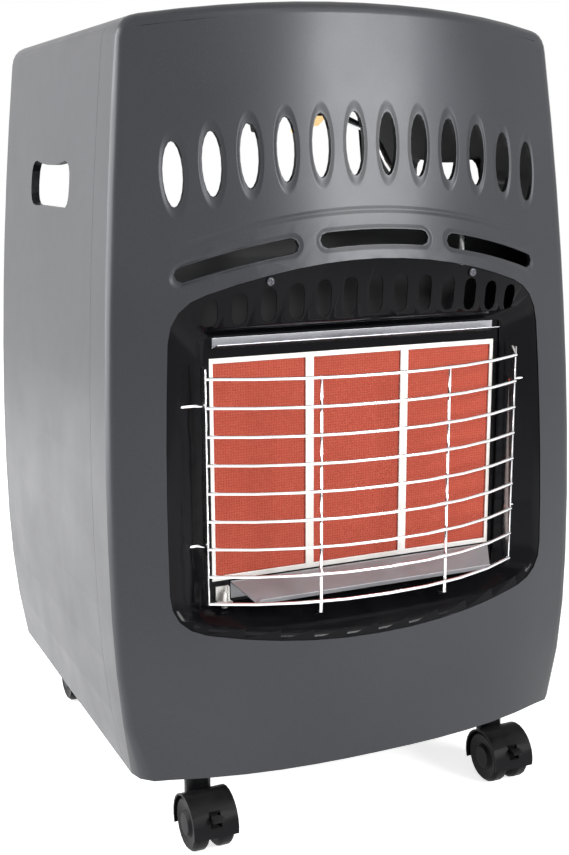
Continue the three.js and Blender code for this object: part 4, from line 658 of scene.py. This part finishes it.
def smooth_piece(node, angle, rounding=0.0, finish=None):
    """A welded copy of a node, shaded smooth and with rounded edges, that stands for the node."""
    source = NODES[node]
    piece = bpy.data.objects.new(node + "_finished", source.data.copy())
    bpy.context.scene.collection.objects.link(piece)
    select_only(piece)
    bpy.ops.object.mode_set(mode="EDIT")
    bpy.ops.mesh.select_all(action="SELECT")
    bpy.ops.mesh.remove_doubles(threshold=WELD)
    bpy.ops.object.mode_set(mode="OBJECT")
    if rounding:
        bevel = piece.modifiers.new("edge_rounding", "BEVEL")
        bevel.width = rounding
        bevel.segments = 2
        bevel.limit_method = "ANGLE"
        bevel.angle_limit = math.radians(ROUNDED_FROM)
        bpy.ops.object.modifier_apply(modifier=bevel.name)
    bpy.ops.object.shade_smooth_by_angle(angle=math.radians(angle))
    even = piece.modifiers.new("even_shading", "WEIGHTED_NORMAL")
    even.mode = "FACE_AREA"
    even.weight = 100
    even.keep_sharp = True
    bpy.ops.object.modifier_apply(modifier=even.name)
    paint_piece(piece, node, finish)
    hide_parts(node)
    return piece


def paint_piece(piece, node, finish=None):
    """The node's finish on a new piece, which then moves with the node's body."""
    slot_name = NODE_SLOT[node]
    piece.data.materials.clear()
    piece.data.materials.append(finish_for(bpy.context.scene, finish or slot_name))
    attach(piece, NODE_BODY[node])


def paint_node(node):
    """The finish of a node that shows as it is."""
    mesh = NODES[node].data
    mesh.materials.clear()
    mesh.materials.append(finish_for(bpy.context.scene, NODE_SLOT[node]))


def nodes_named(*words):
    """The nodes whose names hold one of the words."""
    found = [node for node in NODES if any(word in node for word in words)]
    if not found:
        raise RuntimeError("no node is named like " + ", ".join(words))
    return sorted(found)


def even_front(mesh):
    """Shades the front face by its designed form, so that its facets don't show."""
    normals = [tuple(corner.vector) for corner in mesh.corner_normals]
    for face in mesh.polygons:
        if face.normal.y > FACE_TURN:
            continue
        for loop in face.loop_indices:
            x, y, z = mesh.vertices[mesh.loops[loop].vertex_index].co
            off_face = abs(y - front_y(x, z)) > FACE_TOLERANCE
            if off_face or abs(x) > half_width(z) - FACE_MARGIN:
                continue
            normals[loop] = tuple(front_normal(x, z))
    mesh.normals_split_custom_set(normals)


class HEATER_OT_cabinet(Operator):
    """Graphite paint on the front shell, the wrapper and the base pan"""
    bl_idname = "heater.cabinet"
    bl_label = "Cabinet"

    def execute(self, context):
        shell = smooth_piece("front_shell", SHEET_SMOOTH, finish="front_paint")
        even_front(shell.data)
        smooth_piece("cabinet_wrapper", SHEET_SMOOTH)
        smooth_piece("base_pan", PAN_SMOOTH)
        paint_node("heat_shield")
        return {"FINISHED"}


class HEATER_OT_bezel(Operator):
    """Gloss black surround of the burner, with its screws"""
    bl_idname = "heater.bezel"
    bl_label = "Bezel"

    def execute(self, context):
        smooth_piece("burner_bezel", BEZEL_SMOOTH)
        for node in nodes_named("bezel_screw"):
            smooth_piece(node, PART_SMOOTH)
        return {"FINISHED"}


class HEATER_OT_burner(Operator):
    """Ceramic tiles, their frame, the housing, the plenum and the reflectors"""
    bl_idname = "heater.burner"
    bl_label = "Burner"

    def execute(self, context):
        for node in nodes_named("ceramic_tile", "burner_frame", "reflector"):
            smooth_piece(node, PAN_SMOOTH, FINE_EDGE)
        for node in ("burner_housing", "burner_plenum", "injector_rail", "pilot_burner"):
            smooth_piece(node, PART_SMOOTH)
        return {"FINISHED"}


class HEATER_OT_guard(Operator):
    """Plated wire guard in front of the burner"""
    bl_idname = "heater.guard"
    bl_label = "Wire guard"

    def execute(self, context):
        smooth_piece("wire_guard", WIRE_SMOOTH)
        return {"FINISHED"}


class HEATER_OT_controls(Operator):
    """Control panel, knob, button, valve, gas path and tilt switch"""
    bl_idname = "heater.controls"
    bl_label = "Controls"

    def execute(self, context):
        for node in ("control_knob", "igniter_button", "igniter_body", "gas_valve", "gas_inlet"):
            smooth_piece(node, PART_SMOOTH, FINE_EDGE)
        for node in ("control_panel", "gas_tube", "tilt_switch"):
            smooth_piece(node, TUBE_SMOOTH)
        return {"FINISHED"}


class HEATER_OT_casters(Operator):
    """Plates, hoods, wheels, axles and brakes of the four casters"""
    bl_idname = "heater.casters"
    bl_label = "Casters"

    def execute(self, context):
        for node in nodes_named("_hood", "_wheel_", "_brake"):
            smooth_piece(node, PART_SMOOTH, MOULDED_EDGE)
        for node in nodes_named("_plate", "_axle"):
            smooth_piece(node, PART_SMOOTH)
        return {"FINISHED"}


# the soft lights: power setting, place, target and size
SOFTBOXES = {
    "key_softbox": ("key_power", (0.5, -1.6, 1.9), (0, 0, 0.4), (1.6, 1.2)),
    "side_softbox": ("side_power", (-2.0, 0.8, 0.8), (-0.1, 0, 0.4), (2.4, 2.2)),
    "front_softbox": ("front_power", (0.95, -2.0, 1.05), (0, 0, 0.5), (0.7, 0.7)),
}
FLOOR_SIZE, FLOOR_CELLS = 60, 8
# strength of the floor and of the world where they are seen directly
FLOOR_SEEN, WORLD_SEEN = 0.8, 1.0
# strength of the world as a light
WORLD_LIGHT = 0.27
SENSOR_WIDTH, SHIFT_UP, CLIP_START = 36, 0.0156, 0.05


def seen_directly(tree):
    """One where the camera looks, straight or by way of metal or glass."""
    path = tree.nodes.new("ShaderNodeLightPath")
    mirrored = calculate(
        tree, "MAXIMUM", path.outputs["Is Glossy Ray"], path.outputs["Is Transmission Ray"])
    return calculate(tree, "MAXIMUM", path.outputs["Is Camera Ray"], mirrored)


def soft_light(name, power, place, target, size):
    """A rectangular softbox that faces a point."""
    lamp = bpy.data.lights.new(name, "AREA")
    lamp.shape = "RECTANGLE"
    lamp.size, lamp.size_y = size
    lamp.energy = power
    holder = bpy.data.objects.new(name, lamp)
    bpy.context.scene.collection.objects.link(holder)
    turn = (Vector(target) - Vector(place)).to_track_quat("-Z", "Y")
    holder.matrix_world = Matrix.Translation(place) @ turn.to_matrix().to_4x4()


class HEATER_OT_stage(Operator):
    """Pale floor, soft lights, world and camera"""
    bl_idname = "heater.stage"
    bl_label = "Stage"

    def execute(self, context):
        scene = context.scene
        stage = scene.heater_stage
        self.add_floor(stage)
        self.set_world(scene)
        for name, (power, place, target, size) in SOFTBOXES.items():
            soft_light(name, getattr(stage, power), place, target, size)
        self.add_camera(scene, stage)
        scene.view_settings.view_transform = "Standard"
        return {"FINISHED"}

    def add_floor(self, stage):
        bpy.ops.object.select_all(action="DESELECT")
        bpy.ops.mesh.primitive_grid_add(
            x_subdivisions=FLOOR_CELLS, y_subdivisions=FLOOR_CELLS, size=FLOOR_SIZE,
            location=(0, 0, 0))
        floor = bpy.context.object
        floor.name = "studio_floor"
        material, tree, shader = start_material(
            "studio_floor", Roughness=0.9, Specular_IOR_Level=0.1)
        shade = noise(tree, object_place(tree), 3.0, 2.0)
        near = rgba(scaled(stage.floor, 0.985))
        pale = blend_colour(tree, shade, rgba(stage.floor), near)
        tree.links.new(pale, shader.inputs["Base Color"])
        tree.links.new(pale, shader.inputs["Emission Color"])
        light = spread(tree, seen_directly(tree), 0.0, 1.0, 0.0, FLOOR_SEEN)
        tree.links.new(light, shader.inputs["Emission Strength"])
        floor.data.materials.append(material)

    def set_world(self, scene):
        world = bpy.data.worlds.new("studio_world")
        scene.world = world
        world.use_nodes = True
        tree = world.node_tree
        background = tree.nodes["Background"]
        background.inputs["Color"].default_value = (1, 1, 1, 1)
        light = spread(tree, seen_directly(tree), 0.0, 1.0, WORLD_LIGHT, WORLD_SEEN)
        tree.links.new(light, background.inputs["Strength"])

    def add_camera(self, scene, stage):
        heading, pitch, roll = stage.camera_heading, stage.camera_pitch, stage.camera_roll
        forward = Vector((
            math.sin(heading) * math.cos(pitch), math.cos(heading) * math.cos(pitch),
            -math.sin(pitch)))
        level = Vector((math.cos(heading), -math.sin(heading), 0))
        upright = level.cross(forward)
        right = level * math.cos(roll) + upright * math.sin(roll)
        up = upright * math.cos(roll) - level * math.sin(roll)
        camera = bpy.data.cameras.new("photo_camera")
        camera.lens = stage.camera_lens
        camera.sensor_width = SENSOR_WIDTH
        camera.shift_y = SHIFT_UP
        camera.clip_start = CLIP_START
        holder = bpy.data.objects.new("photo_camera", camera)
        scene.collection.objects.link(holder)
        turn = Matrix((right, up, -forward)).transposed().to_4x4()
        holder.matrix_world = Matrix.Translation(stage.camera_place) @ turn
        scene.camera = holder


OPERATORS = (
    HEATER_OT_cabinet, HEATER_OT_bezel, HEATER_OT_burner, HEATER_OT_guard, HEATER_OT_controls,
    HEATER_OT_casters, HEATER_OT_stage,
)


class HEATER_PT_panel(Panel):
    """Lists the pieces and their settings"""
    bl_idname = "HEATER_PT_panel"
    bl_label = "Gas cabinet heater"
    bl_space_type = "VIEW_3D"
    bl_region_type = "UI"
    bl_category = "Heater"

    def draw(self, context):
        for operator in OPERATORS:
            self.layout.operator(operator.bl_idname)
        for setting, kind in SETTINGS.items():
            box = self.layout.box()
            for prop in kind.__annotations__:
                box.prop(getattr(context.scene, setting), prop)


CLASSES = (*SETTINGS.values(), *OPERATORS, HEATER_PT_panel)


def register():
    for item in CLASSES:
        bpy.utils.register_class(item)
    for setting, kind in SETTINGS.items():
        setattr(bpy.types.Scene, setting, PointerProperty(type=kind))


def unregister():
    for setting in SETTINGS:
        delattr(bpy.types.Scene, setting)
    for item in reversed(CLASSES):
        bpy.utils.unregister_class(item)


def main():
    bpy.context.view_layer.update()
    register()
    bpy.ops.heater.cabinet()
    bpy.ops.heater.bezel()
    bpy.ops.heater.burner()
    bpy.ops.heater.guard()
    bpy.ops.heater.controls()
    bpy.ops.heater.casters()
    bpy.ops.heater.stage()


if __name__ == "__main__":
    main()
